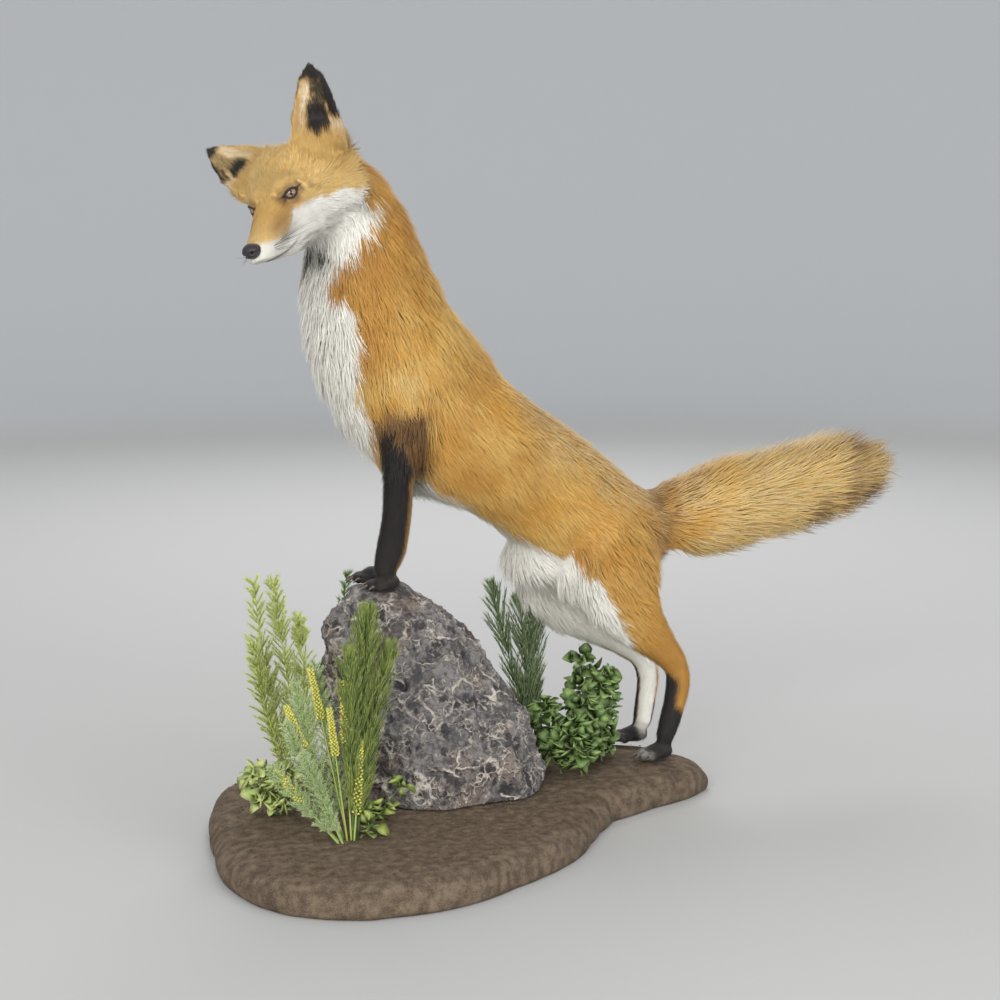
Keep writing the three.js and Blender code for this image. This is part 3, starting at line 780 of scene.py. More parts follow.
def ear_marks(site):
    """Black of the ears' backs, tips and pockets, their pale inner side, and the rust behind them."""
    black, pale, rust = (np.zeros(len(site.points)) for _ in range(3))
    for name in EARS:
        root, axis, opening, sideways = ear_frame(name)
        sign = 1 if name == "ear_left" else -1
        own = site.on(name)
        rise = ((site.head - root) @ axis + EAR_SINK) / (EAR_LENGTH + EAR_SINK)
        half = 32 * np.clip(1 - rise, 0.02, 1) ** 0.55 + 1.5
        lateral = ((site.head - root) @ sideways) / half * np.sign(sideways[1]) * sign
        streak = fractal_noise(np.stack([lateral * 6 + rise * 2, rise * 2.0, 0 * rise], -1), 3, 27)
        inside = ease(-0.1, 0.2, (site.normals @ HEAD_AXES) @ opening)
        back = (1 - inside) * ease(0.26, 0.42, rise + 0.05 * streak)
        pocket = ease(1.3, 0.6, np.hypot((lateral - 0.05) / 0.5, (rise - 0.38) / 0.22) + 0.5 * streak)
        strip = ease(0.52, 0.72, lateral + 0.3 * streak - 0.14 * (sign < 0)) * ease(0.32, 0.42, rise)
        upper = 0.85 * ease(-0.5, -0.15, streak + 0.6 * lateral) * ease(0.44, 0.6, rise) * (0.8 + 0.2 * sign)
        tip = ease(0.74, 0.86, rise + 0.06 * streak - 0.06 * (sign < 0))
        black += own * held(back + inside * np.maximum.reduce([pocket, strip, upper, tip]))
        pale += own * inside * ease(0.1, 0.3, rise + 0.1 * streak) * ease(-1.1, -0.5, lateral)
        rust += own * (1 - inside) * ease(0.42, 0.2, rise)
    return black, pale, rust


def leg_black(site):
    """Black of the fore legs, of the front of the hind legs, and of the paws."""
    fore = site.run_of(*FORE)
    hind = site.run_of(*HIND)
    fore_black = ease(0.24, 0.36, fore + 0.014 * site.wander - 0.13 * site.facing_back)
    fore_black = fore_black * (1 - 0.85 * ease(0.35, 0.8, site.facing_back) * ease(0.9, 0.8, fore))
    hind_black = ease(0.15, -0.55, site.facing_back - 2 * ease(100, 84, site.z + site.wander))
    hind_black = hind_black * ease(0.58, 0.66, hind + 0.012 * site.wander) * (1 - inner_leg(site))
    return site.on(*FORE) * fore_black + site.on(*HIND) * hind_black


def grizzle_marks(site):
    """The loin, rump and tail root, where each hair is banded."""
    loin = ease(-60, 40, site.x + 3 * site.wander) * ease(-0.3, 0.85, site.facing_up + 0.25 * site.wide)
    root = ease(0.3, 0.12, site.runs["tail"]) * (0.3 + 0.5 * ease(-0.3, 0.7, site.facing_up))
    return held(site.on("torso") * loin + site.on("tail") * root)


def straw_marks(site):
    """The pale tail, crown and point of the shoulder."""
    tail = ease(0.10, 0.24, site.runs["tail"] + 0.01 * site.wander - 0.12 * site.facing_up)
    crown = 0.62 - 0.2 * hill(site.forward, 30, 22)
    shoulder = hill(site.x, -136, 26) * hill(np.abs(site.y), 66, 26) * hill(site.z, 505, 26)
    straw = site.on("tail") * tail + site.on("head") * crown + 0.75 * site.on("torso") * shoulder
    return held(straw + 0.5 * site.on(*EARS))


def elbow_shade_patch(site):
    """Painted shade in the armpit behind each elbow: a dark patch, broken up by noise."""
    x, y, z = site.body.T
    elbow = ease(-176, -158, x) * ease(-98, -114, x) * ease(384, 402, z) * ease(482, 460, z + site.wander)
    return elbow * ease(34, 46, np.abs(y)) * (0.75 + 0.5 * fractal_noise(site.body / [9, 9, 22], 3, 61))


def tail_dark(site):
    """The tail's dusky end, the dark clumps under it and a faint ring."""
    tail = site.runs["tail"]
    clumps = hill(tail, 0.70, 0.035) + hill(tail, 0.50, 0.025) + 0.6 * hill(tail, 0.60, 0.02)
    dusk = 0.45 * ease(0.62, 0.80, tail + 0.02 * site.wander)
    under = clumps * ease(0.1, -0.6, site.facing_up + 0.04 * site.wander)
    ring = 0.5 * hill(tail - 0.08 * site.facing_up + 0.01 * site.wander, 0.62, 0.04)
    return site.on("tail") * (dusk + under + ring)


def whisker_spots(site):
    """The whisker pads, and how dark the speckles on them are."""
    speckle = 0.5 + 0.9 * fractal_noise(site.head / [5, 3, 2.2], 2, 35)
    return site.spot((40, 20), (18, 8), (-27, 7)), speckle


def brown_marks(site, smoky_hair_and_shade):
    """Painted elbow shade, the back of the fore legs, the ridge of the back, tail root, tail end and muzzle
    side.
    """
    fore = site.run_of(*FORE)
    rear = site.on(*FORE) * ease(0.0, 0.8, site.facing_back)
    rear = rear * ease(0.98, 0.8, fore) * ease(0.1, 0.2, fore)
    saddle = hill(site.x, 178, 26) * ease(286, 306, site.z)
    saddle = saddle * (0.7 + 0.6 * fractal_noise(site.body / [26, 8, 8], 3, 63)) * site.on("tail", "torso")
    ridge = ease(0.45, 0.95, site.facing_up) * (0.5 + 0.5 * fractal_noise(site.body / [22, 8, 8], 3, 65))
    along = 0.5 * site.on("torso") * ease(-80, 40, site.x)
    ridge = ridge * (along + 0.45 * site.on("tail") * ease(0.05, 0.2, site.runs["tail"]))
    # The elbow term lays painted shade into the armpits as brown.
    brown = held(0.6 * rear + 1.25 * elbow_shade_patch(site) + 0.6 * saddle + tail_dark(site) + ridge)
    muzzle_side = 0.6 * site.spot((45, 24), (19, 7), (-15, 9))
    under_eye = 0.35 * site.spot((8, 14), (31, 9), (-14, 7))
    brown = held(brown + site.on("head") * (muzzle_side + under_eye))
    zone, speckle = whisker_spots(site)
    specks = 0.4 * zone * held(1.2 - speckle)
    return held(brown + site.on("head") * (0.75 * smoky_hair_and_shade + specks))


def rust_marks(site):
    """Deeper red on brow, cheek bone, crown, nape, bib's edge, haunch, heels and the top of the tail."""
    on_head, on_torso = site.on("head"), site.on("torso")
    on_hind = site.on(*HIND)
    hind = site.run_of(*HIND)
    brow = hill(site.forward, 14, 10) * hill(np.abs(site.left), 17, 6) * ease(-26, -10, site.up)
    rust = on_head * (0.55 * brow + 0.85 * site.spot((28, 22), (22, 7), (-16, 8)))
    rust += on_hind * (0.8 * ease(0.36, 0.5, hind) + 0.45 * ease(0.5, 0.3, hind))
    rust += 0.45 * on_torso * ease(0.25, 0.75, 0.5 + site.wide)
    rust += 0.5 * site.on("tail") * ease(0.2, 0.7, site.facing_up) * ease(0.3, 0.5, site.runs["tail"])
    run = site.runs["torso"]
    rust += on_torso * (0.5 * ease(0.34, 0.2, run) + 0.4 * ease(0.72, 0.88, run))
    fleck = fractal_noise(site.head / [11, 4, 4], 3, 39)
    rust += 0.9 * on_head * ease(-0.1, 0.6, fleck) * ease(-24, -10, site.up)
    bridge = hill(np.abs(site.left), 17, 8) * hill(site.up, -12, 10) * ease(70, 20, site.forward)
    from_bib = site.x - bib_edge(site)
    return rust + 0.5 * on_head * bridge + 0.35 * on_torso * ease(20, 0, from_bib) * ease(0, 10, from_bib)


def grey_marks(site, throat_shade):
    """Shaded streaks on the cheek and throat, a dark patch of painted shade under the jaw, speckled whisker
    pads, and painted shade on the throat and the belly's underside.
    """
    on_head, on_torso = site.on("head"), site.on("torso")
    forward, up = site.forward, site.up
    streak = ease(0.0, 0.5, fractal_noise(site.head / [16, 7, 3.5], 3, 31))
    streaks = streak * ease(36, 16, forward) * (0.35 + 0.45 * ease(-30, -48, up))
    zone, speckle = whisker_spots(site)
    grey = on_head * face_white(site) * (streaks + 0.4 * ease(34, 52, forward))
    grey += on_head * zone * held(speckle)
    grey += 0.12 * on_torso * bib_white(site) * ease(0.1, 0.7, 0.5 + site.wide)
    # Grey on the belly's white where it faces down: painted shade on the underside.
    under = ease(110, 20, site.x) * ease(-0.1, -0.8, site.facing_up)
    grey += 0.35 * on_torso * belly_white(site) * under
    # A grey patch under the jaw: painted shade.
    under_jaw_shade = hill(forward, 4, 24) * hill(up, -66, 13) * ease(44, 14, np.abs(site.left))
    return held(grey + 0.9 * on_head * under_jaw_shade + throat_shade * site.on("torso", "head"))


def bare_smoky_and_shade(site):
    """Bare dark skin of lids, tear line, lips and nose edge; smoky hair round the lids and behind the eye,
    and painted shade in the hollow before the eye.
    """
    forward, left, up = site.head.T
    bare, smoky_hair_and_shade = np.zeros(len(left)), np.zeros(len(left))
    for side in (1, -1):
        outside, eye_x, eye_y = lid_distance(site.head, side)
        from_eye = eye_distance(site.head, side)
        close = ease(17, 14, from_eye)
        margin = ease(2.6, 1.2, outside - 0.7 * (eye_y > 0))
        inner_tear = 0.9 * hill(eye_y, -2.2, 1.3) * ease(-5, -7, eye_x)
        outer_tear = 0.9 * hill(eye_y, 1.0, 1.0) * ease(5, 7, eye_x)
        bare = np.maximum(bare, close * np.maximum.reduce([margin, inner_tear, outer_tear]))
        behind = hill(up, 1.45 * (forward + 6) - 1, 2.6) * ease(-5, -8, forward) * ease(-21, -16, forward)
        round_lids = ease(6.5, 3.0, outside - 1.5 * (eye_y > 0))
        # Painted shade in the hollow below the eye's inner corner.
        corner = hill(eye_y, -2.5, 3.5) * ease(-4, -8, eye_x) * ease(-19, -11, eye_x)
        corner = corner * ease(30, 24, forward)
        behind = 0.7 * behind * (left * side > 22)
        corner = 0.75 * corner * (from_eye < 24)
        smoky_hair_and_shade = np.maximum.reduce([smoky_hair_and_shade, behind, 0.9 * close * round_lids, corner])
    muzzle = ease(20, 26, forward) * ease(92, 88, forward) * site.on("head")
    lips = 0.9 * muzzle * hill(mouth_line(forward) - up, 0, 1.3)
    nose_edge = np.linalg.norm((site.head - NOSE_AT) / [8, 9, 7.5], axis=1)
    return np.maximum.reduce([bare, lips, ease(1.35, 1.15, nose_edge)]), smoky_hair_and_shade


def markings(site):
    """The coat's marks at each vertex, as two colours. Marks: white, black, grizzled, straw. Tints:
    brown, rust, grey shade and bare dark skin."""
    ear_black, ear_pale, ear_rust = ear_marks(site)
    bare, smoky_hair_and_shade = bare_smoky_and_shade(site)
    white = white_marks(site) * (1 - site.on(*EARS)) + 0.45 * ear_pale * (1 - ear_black)
    # Painted shade on the throat under the jaw: grey, with black flecks laid over it.
    throat_shade = 1.1 * hill(site.x, -216, 18) * hill(site.z, 631, 11) * ease(30, 10, site.y)
    throat_shade_flecks = held(0.5 + 1.3 * fractal_noise(site.head / [9, 4, 12], 2, 37)) * throat_shade
    # Black flecks of painted shade in the armpits behind the elbows.
    elbow_shade_flecks = 0.4 * elbow_shade_patch(site) * ease(-0.2, 0.4, fractal_noise(site.head / 8, 2, 67))
    toes = site.on(*HIND) * ease(62, 50, site.z) * ease(172, 160, site.x)
    black = held(leg_black(site) + ear_black) + 0.8 * throat_shade_flecks * site.on("torso", "head") + elbow_shade_flecks
    black = held(black * (1 - 0.45 * toes))
    grey = held(grey_marks(site, throat_shade) + 0.8 * toes)
    rust = held(rust_marks(site) + 0.6 * ear_rust)
    marks = np.stack([held(white), black, grizzle_marks(site), straw_marks(site)], -1)
    return marks, np.stack([brown_marks(site, smoky_hair_and_shade), rust, grey, bare], -1)


# ---- shader nodes
def give(tree, made, inputs):
    """Sets a node's inputs. Each is a number, a colour, a colour without its alpha, or a socket."""
    for key, value in inputs.items():
        if isinstance(value, bpy.types.NodeSocket):
            tree.links.new(value, made.inputs[key])
        elif made.inputs[key].type == "RGBA" and len(value) == 3:
            made.inputs[key].default_value = (*value, 1.0)
        else:
            made.inputs[key].default_value = value


def node(tree, kind, inputs=None, **settings):
    """A shader node with its settings and inputs."""
    made = tree.nodes.new(kind)
    for key, value in settings.items():
        setattr(made, key, value)
    give(tree, made, inputs or {})
    return made


def blended(tree, share, low, high, blend="MIX"):
    """A colour from low to high by share."""
    made = node(tree, "ShaderNodeMix", {0: share, 6: low, 7: high}, data_type="RGBA", blend_type=blend)
    return made.outputs[2]


def reckon(tree, operation, a, b):
    """One sum, product or the like of two values."""
    return node(tree, "ShaderNodeMath", {0: a, 1: b}, operation=operation).outputs[0]


def times(tree, a, b):
    return reckon(tree, "MULTIPLY", a, b)


def plus(tree, a, b):
    return reckon(tree, "ADD", a, b)


def stepped(tree, value, low, high, to_low=0.0, to_high=1.0):
    """A value carried from the range low..high to another, smoothly and within its ends."""
    inputs = {"Value": value, "From Min": low, "From Max": high, "To Min": to_low, "To Max": to_high}
    return node(tree, "ShaderNodeMapRange", inputs, interpolation_type="SMOOTHSTEP").outputs[0]


def object_place(tree):
    return node(tree, "ShaderNodeTexCoord").outputs["Object"]


def noise(tree, scale, detail=3.0, roughness=0.55):
    """Noise on Object coordinates."""
    inputs = {"Vector": object_place(tree), "Scale": scale, "Detail": detail, "Roughness": roughness}
    return node(tree, "ShaderNodeTexNoise", inputs).outputs["Fac"]


def stored(tree, name):
    """The numbers kept at the vertices under a name."""
    return node(tree, "ShaderNodeAttribute", attribute_name=name).outputs


def parted(tree, colour):
    return node(tree, "ShaderNodeSeparateColor", {0: colour}).outputs


def grey_of(tree, value):
    return node(tree, "ShaderNodeCombineColor", {0: value, 1: value, 2: value}).outputs[0]


def bump(tree, height, strength, distance):
    inputs = {"Height": height, "Strength": strength, "Distance": distance}
    return node(tree, "ShaderNodeBump", inputs).outputs[0]


SOCKETS = {"colour": "NodeSocketColor", "value": "NodeSocketFloat"}


def new_group(name, inputs, outputs):
    """An empty shader group with its named inputs and outputs: (tree, inputs by name, output node)."""
    tree = bpy.data.node_groups.new(name, "ShaderNodeTree")
    for key, kind in inputs.items():
        tree.interface.new_socket(key, in_out="INPUT", socket_type=SOCKETS[kind])
    for key, kind in outputs.items():
        tree.interface.new_socket(key, in_out="OUTPUT", socket_type=SOCKETS[kind])
    return tree, tree.nodes.new("NodeGroupInput").outputs, tree.nodes.new("NodeGroupOutput")


def new_material(name):
    """A material with only its Principled shader: (material, tree)."""
    made = bpy.data.materials.new(name)
    made.use_nodes = True
    return made, made.node_tree


def finished(made, colour, **inputs):
    """The material with its shader's colour and other inputs set, an underscore for each space."""
    inputs = {key.replace("_", " "): value for key, value in inputs.items()}
    give(made.node_tree, made.node_tree.nodes["Principled BSDF"], {"Base Color": colour, **inputs})
    return made


MARK_COLOURS = ("gold", "orange", "white", "black", "brown", "rust", "straw", "grey")


def markings_group():
    """The fox's markings, shared by its skin and its coat, from the marks stored at each vertex and
    the place along each tuft."""
    if "fox_markings" in bpy.data.node_groups:
        return bpy.data.node_groups["fox_markings"]
    inputs = dict.fromkeys(MARK_COLOURS, "colour")
    tree, given, result = new_group("fox_markings", inputs, {"Color": "colour"})
    marks, tints = stored(tree, "marks"), stored(tree, "tints")
    white, black, grizzle = parted(tree, marks["Color"])[:3]
    brown, rust, grey = parted(tree, tints["Color"])[:3]
    along, chance, tuft = parted(tree, stored(tree, "lock")["Color"])[:3]
    gold_share = stepped(tree, plus(tree, noise(tree, 22.0), times(tree, chance, 0.25)), 0.42, 0.78)
    colour = blended(tree, gold_share, given["orange"], given["gold"])
    colour = blended(tree, rust, colour, given["rust"])
    pale_end = blended(tree, 0.12, given["straw"], given["white"])
    root_band = blended(tree, 0.5, given["brown"], given["rust"])
    banded = blended(tree, stepped(tree, along, 0.45, 0.8), root_band, pale_end)
    banded = blended(tree, stepped(tree, chance, 0.25, 0.6, 0.1, 0.7), banded, colour)
    colour = blended(tree, grizzle, colour, banded)
    straw_colour = blended(tree, stepped(tree, chance, 0.3, 0.9), given["straw"], given["gold"])
    guard = times(tree, stepped(tree, along, 0.72, 0.95), stepped(tree, tuft, 0.72, 0.85))
    straw_colour = blended(tree, times(tree, guard, 0.75), straw_colour, given["brown"])
    colour = blended(tree, marks["Alpha"], colour, straw_colour)
    bare = tints["Alpha"]
    for share, key in ((white, "white"), (grey, "grey"), (brown, "brown"), (black, "black"), (bare, "black")):
        colour = blended(tree, share, colour, given[key])
    shade = stepped(tree, along, 0.0, 0.7, 0.80, 1.03)
    shade = times(tree, shade, stepped(tree, tuft, 0.0, 1.0, 0.91, 1.07))
    give(tree, result, {"Color": blended(tree, 1.0, colour, grey_of(tree, shade), "MULTIPLY")})
    return tree


def marked(tree):
    """The markings group placed in a material: its colour."""
    coat = bpy.context.scene.fox_coat
    colours = {name: getattr(coat, name) for name in MARK_COLOURS}
    return node(tree, "ShaderNodeGroup", colours, node_tree=markings_group()).outputs["Color"]


def skin_material():
    """The skin: the markings under a fine nap."""
    made, tree = new_material("fox_skin")
    nap = bump(tree, noise(tree, 900.0, 2.0), 0.4, 0.0006)
    return finished(made, marked(tree), Roughness=0.8, Normal=nap)


def coat_material():
    """The hair: the markings with a soft sheen."""
    made, tree = new_material("fox_coat")
    surface = {"Roughness": 0.62, "Specular_IOR_Level": 0.3, "Sheen_Weight": 0.15, "Sheen_Roughness": 0.5}
    return finished(made, marked(tree), **surface)


def mottle_group():
    """A mottle for stone, earth and leaves: a coarse and a fine noise, mixed and set between ends."""
    if "mottle" in bpy.data.node_groups:
        return bpy.data.node_groups["mottle"]
    inputs = {"Low": "colour", "High": "colour", "Coarse": "value", "Fine": "value", "Edge": "value"}
    inputs["Softness"] = "value"
    tree, given, result = new_group("mottle", inputs, {"Color": "colour", "Mask": "value"})
    fine = times(tree, noise(tree, given["Fine"], 2.0), 0.4)
    coarse = times(tree, noise(tree, given["Coarse"], 4.0), 0.6)
    low = reckon(tree, "SUBTRACT", given["Edge"], given["Softness"])
    high = plus(tree, given["Edge"], given["Softness"])
    mask = stepped(tree, plus(tree, coarse, fine), low, high)
    give(tree, result, {"Mask": mask, "Color": blended(tree, mask, given["Low"], given["High"])})
    return tree


def mottled(tree, low, high, coarse, fine, edge, softness):
    """The mottle placed in a material: its colour and its mask."""
    inputs = {"Low": low, "High": high, "Coarse": coarse, "Fine": fine, "Edge": edge, "Softness": softness}
    made = node(tree, "ShaderNodeGroup", inputs, node_tree=mottle_group())
    return made.outputs["Color"], made.outputs["Mask"]


# ---- settings
def colour_setting(name, text, value):
    return FloatVectorProperty(
        name=name, description=text, default=value, size=3, min=0.0, max=1.0, subtype="COLOR"
    )


class FoxCoatSettings(bpy.types.PropertyGroup):
    """Colours and fineness of the skin and coat."""

    gold: colour_setting("Gold", "Pale golden hair of shoulders and neck", (0.75, 0.48, 0.145))
    orange: colour_setting("Orange", "Main colour of the flanks", (0.66, 0.35, 0.07))
    rust: colour_setting("Rust", "Deeper red-brown of the nape and heels", (0.52, 0.25, 0.05))
    white: colour_setting("White", "Cheeks, bib and belly", (0.96, 0.935, 0.85))
    # Black also lays on flecks of painted shade on the throat and behind the elbows.
    black: colour_setting("Black", "Legs and backs of the ears", (0.022, 0.018, 0.016))
    # Brown also lays on the painted shade behind the elbows and in the hollows before the eyes.
    brown: colour_setting("Brown", "Elbows, guard hairs and tail root", (0.17, 0.085, 0.03))
    straw: colour_setting("Straw", "Hair of the tail", (0.74, 0.54, 0.25))
    # Grey also lays on the painted shade under the jaw, on the throat and on the belly's underside.
    grey: colour_setting("Grey", "Shaded streaks in the white", (0.42, 0.41, 0.36))
    voxel: FloatProperty(
        name="Skin fineness", description="Size of the skin's faces", default=0.0032, unit="LENGTH"
    )
    tufts: FloatProperty(
        name="Tufts", description="Share of the full number of tufts", default=1.0, min=0.01, max=1.0
    )
    seed: IntProperty(name="Seed", description="Start of the random draws", default=7)


class FoxFeatureSettings(bpy.types.PropertyGroup):
    """Colours of eyes, nose and claws."""

    iris: colour_setting("Iris", "Amber of the eye", (0.40, 0.20, 0.11))
    iris_edge: colour_setting("Iris edge", "Dark rim of the iris", (0.06, 0.02, 0.01))
    leather: colour_setting("Nose", "Nose leather", (0.012, 0.011, 0.013))
    claw: colour_setting("Claws", "Horn of the claws", (0.05, 0.04, 0.035))


class FoxGroundSettings(bpy.types.PropertyGroup):
    """Colours and sizes of the rock and the earth."""

    stone_dark: colour_setting("Dark stone", "Body of the rock", (0.085, 0.078, 0.08))
    stone_grey: colour_setting("Grey stone", "Weathered faces of the rock", (0.27, 0.253, 0.243))
    stone_pale: colour_setting("Pale stone", "Cream ridges of the rock", (0.72, 0.65, 0.57))
    stone_pit: colour_setting("Pits", "Deep places of the rock", (0.035, 0.032, 0.036))
    soil_dark: colour_setting("Dark earth", "Body of the earth", (0.095, 0.068, 0.047))
    soil_pale: colour_setting("Pale earth", "Dry grains of the earth", (0.24, 0.18, 0.125))
    grains: IntProperty(name="Grains", description="Loose grains on the earth", default=5200)


class FoxPlantSettings(bpy.types.PropertyGroup):
    """Colours of the artificial plants."""

    lime: colour_setting("Yellow green", "Tall sprigs", (0.78, 0.84, 0.34))
    frosted: colour_setting("Frosted green", "Grey-green sprigs", (0.74, 0.82, 0.50))
    olive: colour_setting("Olive", "Feathery plume", (0.44, 0.52, 0.12))
    leaf: colour_setting("Leaf green", "Bright leaves", (0.32, 0.46, 0.14))
    deep: colour_setting("Deep green", "Ivy and needles", (0.075, 0.135, 0.045))
    silver: colour_setting("Silver green", "Tips of the needles", (0.40, 0.50, 0.26))
    flower: colour_setting("Flower yellow", "Flower spikes", (0.84, 0.74, 0.16))


class FoxStageSettings(bpy.types.PropertyGroup):
    """Colours of the floor and backdrop and the power of the lamps."""

    floor: colour_setting("Floor", "Plain pale floor", (0.53, 0.53, 0.52))
    backdrop: colour_setting("Backdrop", "Plain pale backdrop", (0.66, 0.67, 0.68))
    key: FloatProperty(name="Key", description="Power of the large lamp", default=88.0, unit="POWER")
    fill: FloatProperty(name="Fill", description="Power of the side lamp", default=46.0, unit="POWER")
    sky: FloatProperty(name="Sky", description="Strength of the light all round", default=0.62)


# ---- skin
TAIL_CORE = 0.40  # the tail itself, as a share of its width with its coat
TAIL_BONE = 0.86  # where the tail itself ends, as a share of its length with its coat
# Ellipsoids of flesh in the folds between solids: centre and half sizes in the body's frame.
FOLDS = (
    ((95, -30, 262), (44, 34, 42)),
    ((88, 28, 262), (44, 34, 42)),
    ((52, 12, 282), (46, 46, 40)),
    ((-199, -42, 698), (30, 30, 36)),
    ((198, 0, 304), (34, 30, 34)),
)


def filling():
    """Flesh that closes the folds between solids: round each ear's root, between head and neck on
    each side, over the eyeballs, behind the near ear, in the groin and under the tail's root."""
    forms = []
    for name in EARS:
        root, axis, opening, sideways = ear_frame(name)
        forms.append((from_head, root - 2 * axis - 4 * opening, [19 * axis, 31 * sideways, 15 * opening]))
    for centre, halves in FOLDS:
        forms.append((from_body, np.array(centre, float), np.diag(halves)))
    for side in (-1, 1):
        forms.append((from_head, np.array([-80.0, 30.0 * side, -40.0]), np.diag([34.0, 26.0, 32.0])))
        centre, gaze, along, lid_up = eye_frame(side)
        spread = EYE_RADIUS + LID_MOUND
        forms.append((from_head, centre - gaze, [spread * gaze, (spread + 2) * along, spread * lid_up]))
    made = [(place_of, globe(centre, axes)) for place_of, centre, axes in forms]
    return [(place_of(points), faces) for place_of, (points, faces) in made]


def tail_drawn_in(places):
    """The tail's solid drawn in to the tail itself: nearer its line and shorter."""
    line = PARTS["tail"]
    run, _ = line.nearest(places)
    share = run / line.length
    keep = np.interp(share, [0, 0.12, 0.4, 1], [0.98, 0.84, TAIL_CORE, TAIL_CORE])[:, None]
    shorter = mixed(1.0, TAIL_BONE, ease(0.2, 1.0, share))
    return line.at(run * shorter) + (places - line.at(run)) * keep


def fleshed(name):
    """A flesh solid's points and triangles, the tail's drawn in."""
    points, faces = merged_solid(name, 0.6 * MM)
    if name.startswith("tail"):
        points = from_body(tail_drawn_in(in_body(points)))
    return points, faces


def set_in(mesh):
    """Smooths the skin, most where parts meet, and sets it in by the coat's depth along its normals."""
    points, edges, faces = surface_of(mesh)
    site = Site(points)
    sharp = site.on(*EARS)
    paw = sum(site.on(name) * ease(0.84, 0.9, site.runs[name]) for name in LEGS)
    stiff = sharp * ease(0.1, 0.35, site.run_of(*EARS)) + paw + 0.6 * ease(30, 60, site.forward)
    stiff = held(stiff)
    points = averaged(points, edges, 10, 0.55 * (1 - 0.93 * stiff))
    crease = 4 * site.on("torso") * (site.on("head") + site.on(*LEGS) + site.on("tail"))
    points = averaged(points, edges, 40, 0.5 * held(crease))
    normals = averaged(normals_of(points, faces), edges, 4)
    site = Site(points)
    depth = averaged(coat_fields(site)[:, 0] * (1 - site.on("tail")), edges, 12, 0.5)
    ear_most = np.interp(site.run_of(*EARS), [0, 0.25, 0.5, 1], [2.0, 1.6, 1.1, 0.7])
    depth = mixed(depth, np.minimum(depth, ear_most), ease(0.1, 0.5, sharp))
    depth = depth * ease(12, 24, eye_nearness(site.head))
    points = points - MM * depth[:, None] * unit(normals)
    move_vertices(mesh, averaged(points, edges, 4, 0.5 * (1 - 0.95 * stiff)))


def on_face(points):
    """Which points are on the face and muzzle."""
    forward, left, up = in_head(points).T
    return (forward > -22) & (forward < 100) & (np.abs(left) < 60) & (np.abs(up + 15) < 50)


def on_eyes(points):
    """Which points are round the eyes."""
    return eye_nearness(in_head(points)) < 19


def draw_skin():
    """The skin: the flesh solids joined and remeshed, set in by the coat's depth, and shaped into a
    face. Its vertices carry the coat's fields, flow and markings."""
    parts = [fleshed(name) for name in FLESH] + filling()
    mesh = remeshed("fox_skin", *joined(parts), bpy.context.scene.fox_coat.voxel)
    set_in(mesh)
    refine(mesh, on_face)
    refine(mesh, on_eyes)
    points, edges, faces = surface_of(mesh)
    points = shape_face(points, normals_of(points, faces))
    move_vertices(mesh, points)
    broad = unit(averaged(normals_of(points, faces), edges, 6))
    site = Site(points, broad)
    fields = averaged(coat_fields(site), edges, 6)
    ahead = -(broad * PARTS["torso"].tangent(site.run_mm("torso"))).sum(-1) * site.on("torso")
    fields[:, 0] *= 1 - 0.7 * ease(0.2, 0.6, ahead) * ease(0.2, 0.1, site.runs["torso"])
    fields[:, 0] *= 0.45 + 0.55 * ease(13, 26, eye_nearness(site.head))
    marks, tints = markings(site)
    numbers = {"coat_fields": fields, "flow": coat_flow(site, edges), "broad": broad}
    numbers.update(marks=marks, tints=tints, lock=np.tile([0.7, 0.5, 0.5, 1.0], (len(points), 1)))
    put_numbers(mesh, numbers)
    return shown("fox_skin", mesh, skin_material())


# ---- coat
# Tufts in each piece, and the rings in each tuft.
COAT_PIECES = {
    "coat_face": (30000, 1),
    "coat_cheeks": (17000, 2),
    "coat_ears": (20000, 1),
    "coat_neck": (18000, 2),
    "coat_shoulders": (18500, 2),
    "coat_flank_left": (15000, 2),
    "coat_flank_right": (13500, 2),
    "coat_thighs": (13000, 2),
    "coat_legs": (24000, 1),
    "coat_tail": (11400, 3),
}
# By rings: how many times the coat's lift each length of a tuft stands, and each ring's thickness.
TUFT_RINGS = {1: ((0.9,), (1.0,)), 2: ((1.4, 0.6), (0.75, 1.0)), 3: ((1.35, 1.0, 0.55), (0.7, 1.0, 0.75))}
PATCH = 0.003  # a tuft's patch on the bake map
SIDE_SHADE = 0.45  # how much a tuft's own sides turn its shading
TIP_SHADE = 0.1  # how much a tuft faces back along itself


def regions(site):
    """The name of the coat piece that each vertex belongs to."""
    part = np.array(NAMES)[site.shares.argmax(-1)]
    run = site.runs["torso"]
    leg = np.zeros(len(part))
    for name in LEGS:
        leg = np.where(part == name, site.runs[name], leg)
    on_torso, on_leg = part == "torso", np.isin(part, LEGS)
    where = {
        "coat_shoulders": on_torso & (run > 0.22),
        "coat_flank_left": on_torso & (run > 0.48) & (site.y < 0),
        "coat_flank_right": on_torso & (run > 0.48) & (site.y >= 0),
        "coat_cheeks": part == "head",
        "coat_face": (part == "head") & (site.forward > -14),
        "coat_ears": np.char.startswith(part, "ear"),
        "coat_thighs": on_leg & (leg <= 0.42),
        "coat_legs": on_leg & (leg > 0.42),
        "coat_tail": part == "tail",
    }
    region = np.full(len(part), "coat_neck", dtype="U20")
    for name, inside in where.items():
        region[inside] = name
    return region


